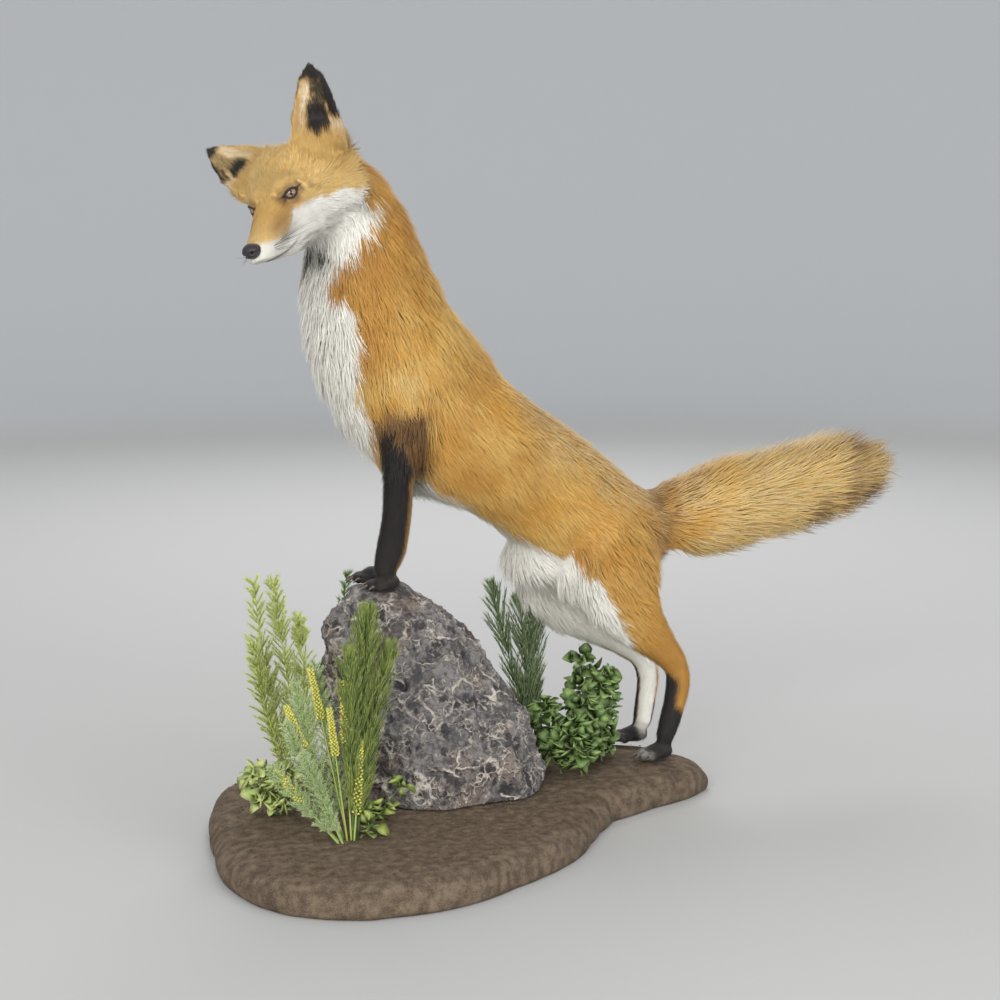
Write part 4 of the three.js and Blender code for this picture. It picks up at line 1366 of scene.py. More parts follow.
def scattered(points, faces, weight, count, rng):
    """Roots spread evenly over faces by weight: (face of each, its share of each corner)."""
    a, b, c = (points[faces[:, k]] for k in range(3))
    area = np.linalg.norm(np.cross(b - a, c - a), axis=1) / 2
    total = np.cumsum(area * weight[faces].mean(1))
    spots = (np.arange(count) + rng.random(count)) / count * total[-1]
    face = np.searchsorted(total, spots).clip(0, len(faces) - 1)
    u, v = rng.random((2, count))
    u, v = np.where(u + v > 1, 1 - u, u), np.where(u + v > 1, 1 - v, v)
    return face, np.stack([1 - u - v, u, v], -1)


def unwrapped(places):
    """Where roots lie on the skin's own unwrap: the run along their part across, and the turn round
    it upward, both from 0 to 1. A part's chart is a strip of its own."""
    shares, runs = part_shares(places)
    chief = shares.argmax(-1)
    chart = np.zeros((len(places), 2))
    for i, (name, line) in enumerate(PARTS.items()):
        run = runs[name] * line.length
        tangent = line.tangent(run)
        side = unit(np.cross(tangent, [0.0, 0.0, 1.0]))
        offset = places - line.at(run)
        turn = np.arctan2((offset * np.cross(side, tangent)).sum(-1), (offset * side).sum(-1))
        strip = (turn / FULL_TURN + 0.5 + i) / len(NAMES)
        chart[chief == i] = np.stack([strip, runs[name]], -1)[chief == i]
    return 0.01 + (0.98 - PATCH) * (chart - chart.min(0)) / np.ptp(chart, 0)


def lock_of(root, normal, length):
    """The lock that each tuft belongs to, larger where the coat is longer: (the way to the lock's
    centre across the skin, the lock's own number)."""
    lock_size = np.clip(0.42 * length, 2.2 * MM, 15 * MM)
    scale = MM * np.array([2.5, 4.0, 6.0, 9.0, 14.0])
    level = np.abs(np.log(scale[None] / lock_size[:, None])).argmin(1)
    cell = scale[level][:, None]
    apart = 100 * level[:, None]
    centre, number, _, _ = nearest_centres(root / cell + apart, 3)
    towards = (centre - apart) * cell - root
    return towards - normal * (towards * normal).sum(-1, keepdims=True), number


def tuft_stations(root, normal, lie, lift, length, bends, pull):
    """The middles of each tuft's rings and its tip: it leaves the skin at the first bend times its
    lift, goes on at the next, and is drawn aside by pull."""
    stations = [root - 0.35 * MM * normal]
    for k, bend in enumerate(bends):
        drawn = ((k + 1) / len(bends)) ** 1.5 - (k / len(bends)) ** 1.5
        step = turned(lift * bend, lie, normal) * (length / len(bends))[:, None]
        stations.append(stations[-1] + step + pull * drawn)
    return np.stack(stations, 1)


def tuft_facing(points, stations, normal, run):
    """Which way a tuft's points face. A tuft is a bundle of many hairs, so it faces nearly as the skin
    does, and only a little as its own three sides do."""
    count, rings = len(stations), stations.shape[1] - 1
    middle = np.repeat(stations[:, :rings], 3, 1)
    spoke = unit(points.reshape(count, -1, 3)[:, :-1] - middle)
    facing = normal[:, None] + SIDE_SHADE * np.concatenate([spoke, 0 * run[:, None]], 1)
    return unit(facing - TIP_SHADE * run[:, None]).reshape(-1, 3)


def grow_tufts(name, skin, rng):
    """One piece of the coat. A tuft leaves its root steeper than the coat's lift and bends over towards
    its tip, is as long as the coat is deep over the sine of its lift, and leans towards its lock's
    centre; each lock of tufts has its own sway, length and shade."""
    count, rings = COAT_PIECES[name]
    count = int(count * bpy.context.scene.fox_coat.tufts)
    points, _, faces = surface_of(skin.data)
    kept = {"coat_fields": 4, "broad": 3, "flow": 3, "marks": 4, "tints": 4}
    kept = {key: get_numbers(skin.data, key, width) for key, width in kept.items()}
    bare = kept["tints"][:, 3] >= 0.3
    weight = kept["coat_fields"][:, 3] * (regions(Site(points)) == name) * ~bare
    face, corner = scattered(points, faces, weight, count, rng)

    def at_roots(values):
        return (values[faces[face]] * corner[..., None]).sum(1)

    root = at_roots(points)
    fields, broad, flow, marks, tints = (at_roots(values) for values in kept.values())
    depth, lift, width, _ = fields.T
    normal = unit(broad)
    flow = across_of(flow, normal)
    lift = np.radians(lift)
    length = 1.22 * MM * depth / np.sin(lift)
    towards, number = lock_of(root, normal, length)
    chance = rng.random(count)
    sway = (number - 0.5) * 0.4 + rng.normal(0, 0.13, count)
    lie = turned(sway, flow, np.cross(normal, flow))
    length = length * rng.uniform(0.7, 1.04, count) * (0.88 + 0.16 * ((number * 7.31) % 1))
    lift = lift * rng.uniform(0.75, 1.2, count)
    bends, profile = TUFT_RINGS[rings]
    stations = tuft_stations(root, normal, lie, lift, length, bends, 0.26 * towards)
    radii = (MM * width * rng.uniform(0.7, 1.25, count) / 2)[:, None] * np.array(profile)
    run = unit(stations[:, -1] - stations[:, 0])
    across, upward = standing_frames(run, normal)
    tuft_points, tuft_faces, patch = strands(stations, across, 0.6 * upward, radii)

    # Marks break up along their edges tuft by tuft.
    marks = ease(0.3, 0.7, marks + 0.45 * (rng.random((count, 1)) - 0.5))
    per_tuft = rings * 3 + 1
    along = np.append(np.repeat(np.arange(rings) / rings, 3), 1.0)
    tuft = 0.6 * number + 0.4 * rng.random(count)
    chance, tuft = np.repeat([chance, tuft], per_tuft, 1)
    numbers = {
        "marks": np.repeat(marks, per_tuft, 0),
        "tints": np.repeat(tints, per_tuft, 0),
        "lock": np.stack([np.tile(along, count), chance, tuft, np.ones_like(tuft)], -1),
        "custom_normal": tuft_facing(tuft_points, stations, normal, run),
    }
    corner_uv = unwrapped(in_body(root))[:, None, None] + PATCH * patch
    material = bpy.data.materials.get("fox_coat") or coat_material()
    return piece_from(name, tuft_points, tuft_faces, material, corner_uv.reshape(-1, 2), numbers)


# ---- eyes, nose, claws, whiskers
def eye_material():
    """Amber iris with fine rays and an upright pupil under a clear polished surface."""
    features = bpy.context.scene.fox_features
    made, tree = new_material("fox_eye")
    off, turn, slit = node(tree, "ShaderNodeSeparateXYZ", {0: stored(tree, "gaze")["Vector"]}).outputs
    ray_place = node(tree, "ShaderNodeCombineXYZ", {0: times(tree, turn, 18.0), 1: off}).outputs[0]
    rays = node(tree, "ShaderNodeTexNoise", {"Vector": ray_place, "Scale": 3.0, "Detail": 3.0})
    ray = stepped(tree, rays.outputs["Fac"], 0.35, 0.7, 0.55, 1.25)
    iris = blended(tree, 1.0, features.iris, grey_of(tree, ray), "MULTIPLY")
    iris = blended(tree, stepped(tree, off, 0.62, 0.80), iris, features.iris_edge)
    iris = blended(tree, stepped(tree, slit, 1.08, 0.92), iris, (0.004, 0.003, 0.003))
    colour = blended(tree, stepped(tree, off, 0.84, 0.92), iris, (0.03, 0.018, 0.014))
    return finished(made, colour, Roughness=0.12, Coat_Weight=1.0, Coat_Roughness=0.03, IOR=1.45)


def make_eye(side, material):
    """An eyeball as a globe round its gaze: the angle from the gaze runs down the rings. The cornea
    bulges as a bell over the iris. Each vertex carries its share of the way out from the gaze, its
    turn, and how far outside the upright oval pupil it lies."""
    rows, around = 40, 48
    centre, gaze, _, _ = eye_frame(side)
    angle, turn = globe_turns(rows, around)
    radius = EYE_RADIUS - 0.15 + 0.7 * hill(angle, 0, 0.45)
    upright = unit(np.array([0.0, 0.0, 1.0]) - gaze * gaze[2])
    way = turned(angle, gaze, turned(turn, np.cross(upright, gaze), upright))
    points = from_head(centre + radius[:, None] * way)
    flat = np.sin(angle) * EYE_RADIUS
    pupil = np.hypot(flat * np.cos(turn) / 1.9, flat * np.sin(turn) / 3.1)
    pupil = np.where(angle > 1.5, 5.0, pupil)
    numbers = {"gaze": np.stack([flat / 7.2 + (angle > 1.5), turn, pupil], -1)}
    name = "eye_left_glass" if side > 0 else "eye_right_glass"
    return piece_from(name, points, outward(points, globe_faces(rows, around)), material, numbers=numbers)


def leather_material():
    """Nose leather with a pebbled surface."""
    made, tree = new_material("nose_leather")
    cells = {"Vector": object_place(tree), "Scale": 1300.0}
    pebble = node(tree, "ShaderNodeTexVoronoi", cells, feature="SMOOTH_F1").outputs["Distance"]
    colour = blended(tree, pebble, bpy.context.scene.fox_features.leather, (0.035, 0.03, 0.034))
    surface = {"Roughness": 0.38, "Specular_IOR_Level": 0.6, "Normal": bump(tree, pebble, 0.5, 0.0004)}
    return finished(made, colour, **surface)


def make_nose():
    """The nose pad: an ellipsoid in the head's frame, cut by a dent for each nostril with a slit that
    runs out sideways, and a groove down its middle; pebbled by its bump."""
    rows, around = 46, 72
    angle, turn = globe_turns(rows, around)
    forward = np.cos(angle)
    left = np.sin(angle) * np.cos(turn)
    up = np.sin(angle) * np.sin(turn)
    side = np.abs(left)
    front = forward > 0
    nostril = 0.34 * hill(side, 0.50, 0.17) * hill(up, -0.08, 0.20) * front
    slit = 0.22 * hill(up, -0.10 - 0.25 * (side - 0.5), 0.09) * ease(0.45, 0.65, side) * (forward > -0.3)
    groove = 0.10 * hill(side, 0, 0.07) * ease(0.25, -0.1, up) * front
    swell = 0.08 * hill(side, 0.55, 0.2) * hill(up, 0.25, 0.25) * front
    reach = 1.0 - nostril - slit - groove + swell
    shape = np.stack([forward * 8.2, left * 9.2, up * 7.6 - 1.0 * (up < 0) * side], -1)
    points = from_head(NOSE_AT + shape * reach[:, None])
    return piece_from("nose_pad", points, outward(points, globe_faces(rows, around)), leather_material())


def speckled_material(name, scale, detail, low, high, roughness):
    """A plain material whose colour wanders between two by noise."""
    made, tree = new_material(name)
    return finished(made, blended(tree, noise(tree, scale, detail), low, high), Roughness=roughness)


# Each paw: x, y, floor, turn in degrees, length, width, height.
PAWS = (
    (-147, -28, 252, 4, 37, 34, 22),
    (-147, 22, 252, -4, 37, 34, 22),
    (178, -43, 34, 6, 42, 32, 22),
    (183, 42, 34, -6, 42, 32, 22),
)
TOES = ((0.24, -0.36), (0.4, -0.13), (0.4, 0.13), (0.24, 0.36))


def make_claws():
    """Sixteen claws, each a strand of eight sides that leaves its toe level and curves down."""
    starts, headings = [], []
    for x, y, floor, turn, length, width, height in PAWS:
        heading = math.radians(turn)
        ahead = np.array([-math.cos(heading), -math.sin(heading), 0])
        aside = np.array([math.sin(heading), -math.cos(heading), 0])
        for forward, left in TOES:
            toe = (forward + 0.16) * length * ahead + left * width * aside
            starts.append(np.array([x, y, floor + 0.40 * height]) + toe)
            headings.append(ahead)
    starts, headings = np.array(starts), np.array(headings)
    reach = np.array([0, 3.5, 6.5, 9.0])
    drop = np.array([0, 0.4, 2.0, 5.6])
    path = starts[:, None] + reach[:, None] * headings[:, None] - drop[:, None] * np.array([0, 0, 1.0])
    radii = np.tile([1.7, 1.5, 1.1], (len(starts), 1)) * MM
    across, upward = standing_frames(unit(headings + [0, 0, -0.45]), [0, 0, 1.0])
    points, faces, _ = strands(from_body(path), across, upward, radii, sides=8)
    horn = bpy.context.scene.fox_features.claw
    material = speckled_material("claw_horn", 500.0, 2.0, horn, (0.16, 0.12, 0.09), 0.35)
    return piece_from("claws", points, faces, material)


def make_whiskers(rng):
    """Fine dark whiskers from the two pads, swept out and back in a shallow curve."""
    count = 22
    side = np.where(np.arange(count) % 2, 1.0, -1.0)
    forward = rng.uniform(50, 72, count)
    outside = side * np.interp(forward, [50, 72], [17.5, 13.5])
    start = np.stack([forward, outside, rng.uniform(-34, -25, count)], -1)
    out = unit(np.stack([rng.uniform(-0.8, -0.2, count), side, rng.uniform(-0.35, 0.15, count)], -1))
    length = rng.uniform(26, 48, count)
    share = np.array([0, 0.35, 0.7, 1.0])
    path = start[:, None] + (length[:, None] * share)[..., None] * out[:, None]
    path = path + (share**2)[None, :, None] * length[:, None, None] * np.array([-0.28, 0, -0.12])
    path = path - 1.5 * out[:, None] * (share == 0)[None, :, None]
    stations = from_head(path)
    across, upward = standing_frames(unit(stations[:, -1] - stations[:, 0]), HEAD_AXES[:, 2])
    radii = MM * np.tile([0.2, 0.16, 0.1], (count, 1))
    points, faces, _ = strands(stations, across, upward, radii, sides=4)
    colours = (0.02, 0.017, 0.015), (0.06, 0.05, 0.045)
    return piece_from("whiskers", points, faces, speckled_material("whisker_hair", 40.0, 3.0, *colours, 0.4))


# ---- rock and earth
def veined(tree, scale, width):
    """A net of thin wandering lines: the edges of cells whose places are bent by noise."""
    place = object_place(tree)
    bend = node(tree, "ShaderNodeTexNoise", {"Vector": place, "Scale": 1.3 * scale, "Detail": 3.0})
    amount = {0: bend.outputs["Color"], "Scale": 0.9 / scale}
    bent = node(tree, "ShaderNodeVectorMath", amount, operation="SCALE").outputs[0]
    moved = node(tree, "ShaderNodeVectorMath", {0: place, 1: bent}, operation="ADD").outputs[0]
    cells = {"Vector": moved, "Scale": scale}
    edge = node(tree, "ShaderNodeTexVoronoi", cells, feature="DISTANCE_TO_EDGE").outputs["Distance"]
    return stepped(tree, edge, width, 0.2 * width)


def rock_material():
    """Craggy moulded stone: grey to brown faces, dark pits, and cream paint on the ridges."""
    ground = bpy.context.scene.fox_ground
    made, tree = new_material("moulded_stone")
    colour, mask = mottled(tree, ground.stone_dark, ground.stone_grey, 30.0, 190.0, 0.5, 0.12)
    warm = stepped(tree, noise(tree, 14.0, 2.0), 0.48, 0.62)
    colour = blended(tree, warm, colour, blended(tree, 1.0, colour, (1.0, 0.84, 0.74), "MULTIPLY"))
    rough = noise(tree, 110.0, 4.0, 0.65)
    fine = times(tree, reckon(tree, "SUBTRACT", rough, 0.5), 1.1)
    level = plus(tree, stored(tree, "crest")["Fac"], fine)
    colour = blended(tree, stepped(tree, level, 0.46, 0.22, 0.0, 0.85), colour, ground.stone_pit)
    veins = times(tree, veined(tree, 34.0, 0.10), stepped(tree, noise(tree, 45.0), 0.44, 0.62))
    small = times(tree, veined(tree, 85.0, 0.13), stepped(tree, noise(tree, 55.0), 0.45, 0.62))
    net = reckon(tree, "MAXIMUM", veins, times(tree, small, 0.85))
    painted = reckon(tree, "MAXIMUM", net, stepped(tree, level, 0.82, 1.05, 0.0, 0.8))
    colour = blended(tree, times(tree, painted, 0.85), colour, ground.stone_pale)
    height = plus(tree, noise(tree, 320.0), times(tree, mask, 0.3))
    height = plus(tree, height, times(tree, net, 1.4))
    height = plus(tree, height, times(tree, rough, 1.6))
    return finished(made, colour, Roughness=0.78, Normal=bump(tree, height, 0.9, 0.0035))


def make_rock():
    """The rock: its solid remeshed, then pushed along its normals by faceted slabs, two sizes of
    ridged noise drawn out along the slope, and fine grain, less where the paws rest."""
    mesh = remeshed("rock", *merged_solid("rock"), 2.7 * MM)
    points, edges, faces = surface_of(mesh)
    points = averaged(points, edges, 6)
    normals = unit(averaged(normals_of(points, faces), edges, 8))
    places = in_body(points)
    warp = 9 * np.stack([value_noise(places / 30, 70 + k) for k in range(3)], -1)
    _, number, near, second = nearest_centres((places + warp) / 30, 61)
    slab = (number - 0.5) * 8.0 * ease(0.0, 0.35, second - near)
    fold = ease(0.25, 0.0, second - near)
    _, _, near, second = nearest_centres((places + 0.6 * warp) / 14, 63)
    small_fold = ease(0.35, 0.0, second - near)
    ridge = fractal_noise((places + warp) / [30, 30, 44], 3, 81, ridged=True)
    vein = fractal_noise((places + 0.6 * warp) / [16, 16, 24], 2, 85, ridged=True)
    grain = fractal_noise(places / 6, 2, 91)
    quiet = ease(-4, -14, places[:, 2] - 252)
    push = slab + 3.6 * fold + 2.6 * small_fold + 3.8 * ridge + 2.6 * vein**2 + 0.8 * grain - 5.2
    push = push * (0.12 + 0.88 * quiet) * ease(36, 46, places[:, 2])
    move_vertices(mesh, points + MM * push[:, None] * normals)
    crest = 0.42 + 0.4 * (vein - 0.5) + 0.2 * (ridge - 0.45) + 0.2 * fold + 0.14 * small_fold
    put_numbers(mesh, {"crest": held(crest)})
    return shown("rock_stone", mesh, rock_material())


BASE_TOP = 34.0
BASE_MIDDLE = np.array([-130.0, -120.0])
BASE_SLOTS = 88  # directions in which the base's solid is measured
# The base's rings under and round its edge: share of the way out to the rim, and height.
BASE_UNDER = [(0.5, 0), (0.9, 0), (0.975, 0), (0.992, 1), (0.998, 5), (0.999, 10), (0.996, 15)]
BASE_SIDE = [(0.988, 20), (0.975, 25), (0.955, 29), (0.93, 31.5)]


def base_rim(turn):
    """How far the base reaches from its middle in each direction, read from its solid's edge."""
    places = in_body(merged_solid("base")[0])[:, :2] - BASE_MIDDLE
    bearing = np.arctan2(places[:, 1], places[:, 0])
    slots = np.round(bearing / FULL_TURN * BASE_SLOTS).astype(int) % BASE_SLOTS
    rim = np.zeros(BASE_SLOTS)
    np.maximum.at(rim, slots, np.hypot(*places.T))
    filled = np.flatnonzero(rim > 60)
    return np.interp(turn / FULL_TURN * BASE_SLOTS, filled, rim[filled], period=BASE_SLOTS)


def soil_height(places):
    """How much the earth stands above or below its level, in millimetres."""
    lumps = fractal_noise(np.column_stack([places / 30, np.zeros(len(places))]), 3, 41)
    crumbs = fractal_noise(np.column_stack([places / 6, np.zeros(len(places))]), 3, 47)
    return 2.2 * lumps + 1.3 * crumbs - 0.8


def soil_material():
    """Dark crumbly earth with pale dry grains."""
    ground = bpy.context.scene.fox_ground
    made, tree = new_material("fixed_earth")
    colour, _ = mottled(tree, ground.soil_dark, ground.soil_pale, 90.0, 900.0, 0.52, 0.16)
    grit = stepped(tree, noise(tree, 700.0, 1.0), 0.66, 0.74)
    colour = blended(tree, times(tree, grit, 0.55), colour, (0.30, 0.23, 0.16))
    crumbs = bump(tree, noise(tree, 800.0, 4.0), 0.8, 0.0015)
    return finished(made, colour, Roughness=0.95, Specular_IOR_Level=0.2, Normal=crumbs)


def make_slab():
    """The base: rings from the middle of the underside out to the rim and back over the top, each
    ring the rim's outline drawn in by a share, with the top and sides lifted by soil noise."""
    around = 300
    turn = np.linspace(0, FULL_TURN, around, endpoint=False)
    top = [(share, BASE_TOP - 1.5 * ease(0.8, 0.93, share)) for share in np.linspace(0.90, 0.02, 62)]
    share, height = np.array(BASE_UNDER + BASE_SIDE + top).T
    out = base_rim(turn) * share[:, None]
    places = BASE_MIDDLE + out[..., None] * np.stack([np.cos(turn), np.sin(turn)], -1)
    z = np.repeat(height[:, None], around, 1)
    z = z + soil_height(places.reshape(-1, 2)).reshape(z.shape) * ease(8, 28, z)
    rough = fractal_noise(np.dstack([places / 9, z[..., None] / 9]).reshape(-1, 3), 3, 55)
    swell = 1 + 0.004 * rough.reshape(z.shape) * ease(2, 8, height)[:, None]
    places = BASE_MIDDLE + (places - BASE_MIDDLE) * np.minimum(swell, 1.0)[..., None]
    rings = np.dstack([places, z[..., None]]).reshape(-1, 3)
    points = from_body(np.concatenate([[[*BASE_MIDDLE, 0.0]], rings, [[*BASE_MIDDLE, BASE_TOP]]]))
    points[:, 2] = np.maximum(points[:, 2], 0.0)
    return points, outward(points, globe_faces(len(share), around))


def make_grains(rng):
    """Loose grains: small eight-sided stones half sunk in the earth."""
    count = bpy.context.scene.fox_ground.grains
    bearing = rng.uniform(0, FULL_TURN, count)
    out = np.sqrt(rng.uniform(0, 1, count)) * 0.95
    way = np.stack([np.cos(bearing), np.sin(bearing)], -1)
    spot = BASE_MIDDLE + (base_rim(bearing) * out)[:, None] * way
    level = BASE_TOP + soil_height(spot) - 3 * ease(0.85, 0.95, out)
    size = rng.gamma(2.0, 0.32, count).clip(0.35, 2.0)
    corners = np.array([[1, 0, 0], [0, 1, 0], [-1, 0, 0], [0, -1, 0], [0, 0, 0.8], [0, 0, -0.8]], float)
    stone = corners[None] * size[:, None, None] * rng.uniform(0.6, 1.3, (count, 6, 1))
    spin = rng.uniform(0, FULL_TURN, count)
    c, s = np.cos(spin)[:, None], np.sin(spin)[:, None]
    x, y, z = stone[..., 0], stone[..., 1], stone[..., 2]
    stone = np.stack([x * c - y * s, x * s + y * c, z], -1)
    points = from_body((np.column_stack([spot, level])[:, None] + stone).reshape(-1, 3))
    faces = np.array([[0, 1, 4], [1, 2, 4], [2, 3, 4], [3, 0, 4], [1, 0, 5], [2, 1, 5], [3, 2, 5], [0, 3, 5]])
    return points, copied(faces, count, len(corners))


def make_earth(rng):
    """The earth-covered base with its loose grains."""
    return piece_from("earth_base", *joined([make_slab(), make_grains(rng)]), soil_material())


# ---- plants
def leaf_material(low, high, name=None):
    """Moulded leaf plastic: its colour runs from root to tip and from leaf to leaf."""
    name = name or f"foliage_{low}_{high}"
    if name in bpy.data.materials:
        return bpy.data.materials[name]
    plants = bpy.context.scene.fox_plants
    made, tree = new_material(name)
    along, chance, _ = parted(tree, stored(tree, "leaf")["Color"])[:3]
    share = plus(tree, times(tree, along, 0.45), times(tree, chance, 0.6))
    colour = blended(tree, share, getattr(plants, low), getattr(plants, high))
    worn = blended(tree, 0.35, colour, (0.6, 0.65, 0.4))
    colour, _ = mottled(tree, colour, worn, 120.0, 900.0, 0.62, 0.1)
    return finished(made, colour, Roughness=0.5)


LEAF_CUP = 0.25  # how far a leaf's edges rise, as a share of its width
LEAF_DROOP = 0.25  # how far its tip hangs down
LEAF_THICK = [0.02, -0.05]  # its upper and lower face over its middle


def leaves(base, direction, roll, length, width):
    """Closed leaves of twenty faces. Across, a leaf is as wide as sin(pi * v^0.8) at share v of its
    length; it droops as v squared and its edges rise as the square of the way out."""
    direction = unit(direction)
    side = unit(np.cross([0.12, 0.07, 1.0], direction))
    side = turned(roll, side, np.cross(direction, side))
    top = np.cross(direction, side)
    v = np.array([0.0, 0.22, 0.5, 0.78, 0.94, 1.0, 0.94, 0.78, 0.5, 0.22])
    sign = np.array([0, 1, 1, 1, 1, 0, -1, -1, -1, -1])
    u = sign * np.sin(np.pi * v**0.8).clip(0, 1) ** 0.8
    u = u * np.where(v == 0.94, 1.4, 1.0)
    x = np.append(u, [0, 0]) / 2
    y = np.append(v, [0.5, 0.5])
    z = LEAF_CUP * np.abs(x) * 2 - LEAF_DROOP * y**2
    z[-2:] = np.array(LEAF_THICK) - LEAF_DROOP * 0.5**2
    across = (x * width[:, None])[..., None] * side[:, None]
    forth = (y * length[:, None])[..., None] * direction[:, None]
    points = base[:, None] + across + forth + (z * width[:, None])[..., None] * top[:, None]
    k = np.arange(len(v))
    after = (k + 1) % len(v)
    upper = np.stack([after, k, np.full_like(k, len(v))], -1)
    lower = np.stack([k, after, np.full_like(k, len(v) + 1)], -1)
    faces = copied(np.concatenate([upper, lower]), len(base), len(x))
    return points.reshape(-1, 3), faces, np.tile(y, len(base))


def needles(base, direction, length, thick, rings=1):
    """Closed needles of three sides, straight from base along direction."""
    direction = unit(direction)
    share = np.linspace(0, 1, rings + 1)
    stations = base[:, None] + (length[:, None] * share)[..., None] * direction[:, None]
    across, upward = standing_frames(direction, [0.13, 0.21, 1.0])
    radii = np.tile(thick * np.array([1.0, 1.15])[:rings], (len(base), 1))
    points, faces, _ = strands(stations, across, upward, radii)
    along = np.append(np.repeat(share[:-1], 3), 1.0)
    return points, faces, np.tile(along, len(base))


def along_path(path, t):
    """The place at each share of the way along a path."""
    steps = np.linspace(0, 1, len(path))
    return np.stack([np.interp(t, steps, path[:, k]) for k in range(3)], -1)


def swell_at(t, fullest, blunt):
    """A sprig's fullness at share t: 1 at its fullest place and blunt at both ends, along a quarter sine."""
    share = np.where(t < fullest, t / fullest, (1 - t) / (1 - fullest))
    return blunt + (1 - blunt) * np.sin(np.pi / 2 * held(share))


PLANTED = BASE_TOP - 6
# Each plant: its way of growing, its two leaf colours, the shoots to a sprig, and its sprigs as foot
# (x, y), tip, half width, fullest place and bow, in millimetres in the body's frame.
PLANTS = {
    "plant_heather_tall": ("needled", "olive", "lime", 110, (
        ((-246, -52), (-304, -70, 286), 17, 0.55, 10),
        ((-244, -50), (-282, -62, 284), 17, 0.55, 0),
        ((-240, -46), (-252, -52, 240), 16, 0.55, -4),
        ((-248, -58), (-308, -84, 220), 15, 0.55, 10),
    )),
    "plant_plume": ("feather", "deep", "olive", 130, (
        ((-236, -214), (-216, -196, 270), 18, 0.7, 0),
        ((-234, -212), (-188, -188, 228), 15, 0.7, 6),
        ((-238, -214), (-238, -206, 228), 14, 0.7, 0),
    )),
    "plant_heather_front": ("tufted", "leaf", "frosted", 100, (
        ((-242, -208), (-264, -166, 214), 16, 0.6, 0),
        ((-244, -206), (-288, -176, 194), 16, 0.6, 4),
        ((-246, -210), (-302, -196, 158), 14, 0.6, 4),
    )),
    "plant_heather_low": ("tufted", "leaf", "frosted", 80, (
        ((-252, -222), (-322, -204, 116), 13, 0.6, 0),
        ((-250, -224), (-292, -214, 130), 12, 0.6, 0),
    )),
    "plant_leaves_front": ("leafy", "leaf", "lime", 22, (
        ((-288, -100), (-316, -104, 84), 15, 0.6, 0),
        ((-286, -100), (-284, -104, 86), 16, 0.6, 0),
    )),
    "plant_fern_rear": ("needled", "deep", "leaf", 46, (
        ((-186, 84), (-161, 68, 264), 10, 0.7, 0),
    )),
    "plant_conifer_rear": ("feather", "deep", "silver", 90, (
        ((58, 44), (10, 58, 236), 17, 0.7, 0),
        ((60, 46), (46, 60, 218), 18, 0.7, 0),
        ((62, 48), (64, 62, 200), 17, 0.7, 0),
    )),
    "plant_ivy_near": ("leafy", "deep", "leaf", 38, (
        ((54, -60), (34, -44, 116), 27, 0.5, 0),
        ((74, -72), (62, -60, 100), 30, 0.5, 0),
    )),
    "plant_ivy_middle": ("leafy", "deep", "leaf", 30, (
        ((94, -40), (92, -26, 122), 25, 0.6, 0),
        ((116, -26), (126, -2, 138), 20, 0.6, 0),
    )),
    "plant_ivy_far": ("leafy", "deep", "leaf", 30, (
        ((128, 8), (134, 14, 136), 20, 0.5, 0),
        ((120, 14), (112, 36, 164), 20, 0.6, 0),
    )),
}
# The small leafy sprout at the plume's foot, and its shoots.
SPROUT = ((-234, -212), (-182, -204, 84), 11, 0.6, 0)
SPROUT_SHOOTS = 12
# Each way of growing: where its shoots start up the stem, their lean along it, and how blunt its
# outline is; then a needle's own lean along its shoot, and its length and half thickness.
HABITS = {
    "needled": {"low": 0.18, "lean": 1.3, "blunt": 0.3, "slim": 1.7, "long": 9.0, "thick": 0.62},
    "feather": {"low": 0.12, "lean": 2.4, "blunt": 0.3, "slim": 3.2, "long": 14.0, "thick": 0.62},
    "tufted": {"low": 0.16, "lean": 1.1, "blunt": 0.3, "slim": 0.9, "long": 5.0, "thick": 0.75},
    "leafy": {"low": 0.12, "lean": 0.5, "blunt": 0.6},
}
NEEDLES = 16  # to a shoot
LEAVES = np.array([0.35, 0.7, 1.0])  # where the leaves of a shoot stand along it
LEAF_SWING = np.array([-1.0, 1.0, 0.0])  # to which side each of them turns
SPIRAL = 2.4  # the turn from one shoot to the next, in radians


def stem_of(foot, tip, bow, thick):
    """A stem from foot to tip, bowed towards the front: (its lot, path, direction, across, upward)."""
    start, end = np.array([*foot, PLANTED], float), np.array(tip, float)
    t = np.linspace(0, 1, 14)
    path = mixed(start, end, t[:, None])
    path[:, 0] -= bow * np.sin(np.pi * t)
    direction = unit(end - start)
    across, upward = standing_frames(direction[None], [1.0, 0.3, 0.1])
    radii = MM * np.linspace(thick, 0.5, len(path) - 1)[None]
    points, faces, _ = strands(from_body(path)[None], across, upward, radii, sides=6)
    none = np.zeros(len(points))
    return (points, faces, none, none), path, direction, across[0], upward[0]


def leafy_lot(start, shoot, length, direction, fullness, rng):
    """The leaves of a sprig's shoots."""
    which = np.repeat(np.arange(len(start)), len(LEAVES))
    count = len(which)
    share = np.tile(LEAVES, len(start))
    base = start[which] + (length[which] * share * 0.75)[:, None] * shoot[which]
    around = np.cross(shoot[which], direction)
    swing = np.tile(LEAF_SWING, len(start)) * rng.uniform(0.5, 1.2, count)
    way = unit(shoot[which] + swing[:, None] * around + rng.normal(0, 0.45, (count, 3)))
    size = MM * rng.uniform(12, 20, count) * (0.75 + 0.25 * fullness[which])
    roll = rng.normal(0, 0.8, count)
    made = leaves(from_body(base), way, roll, size, size * rng.uniform(0.8, 1.0, count))
    return *made, np.repeat(rng.random(count), 12)


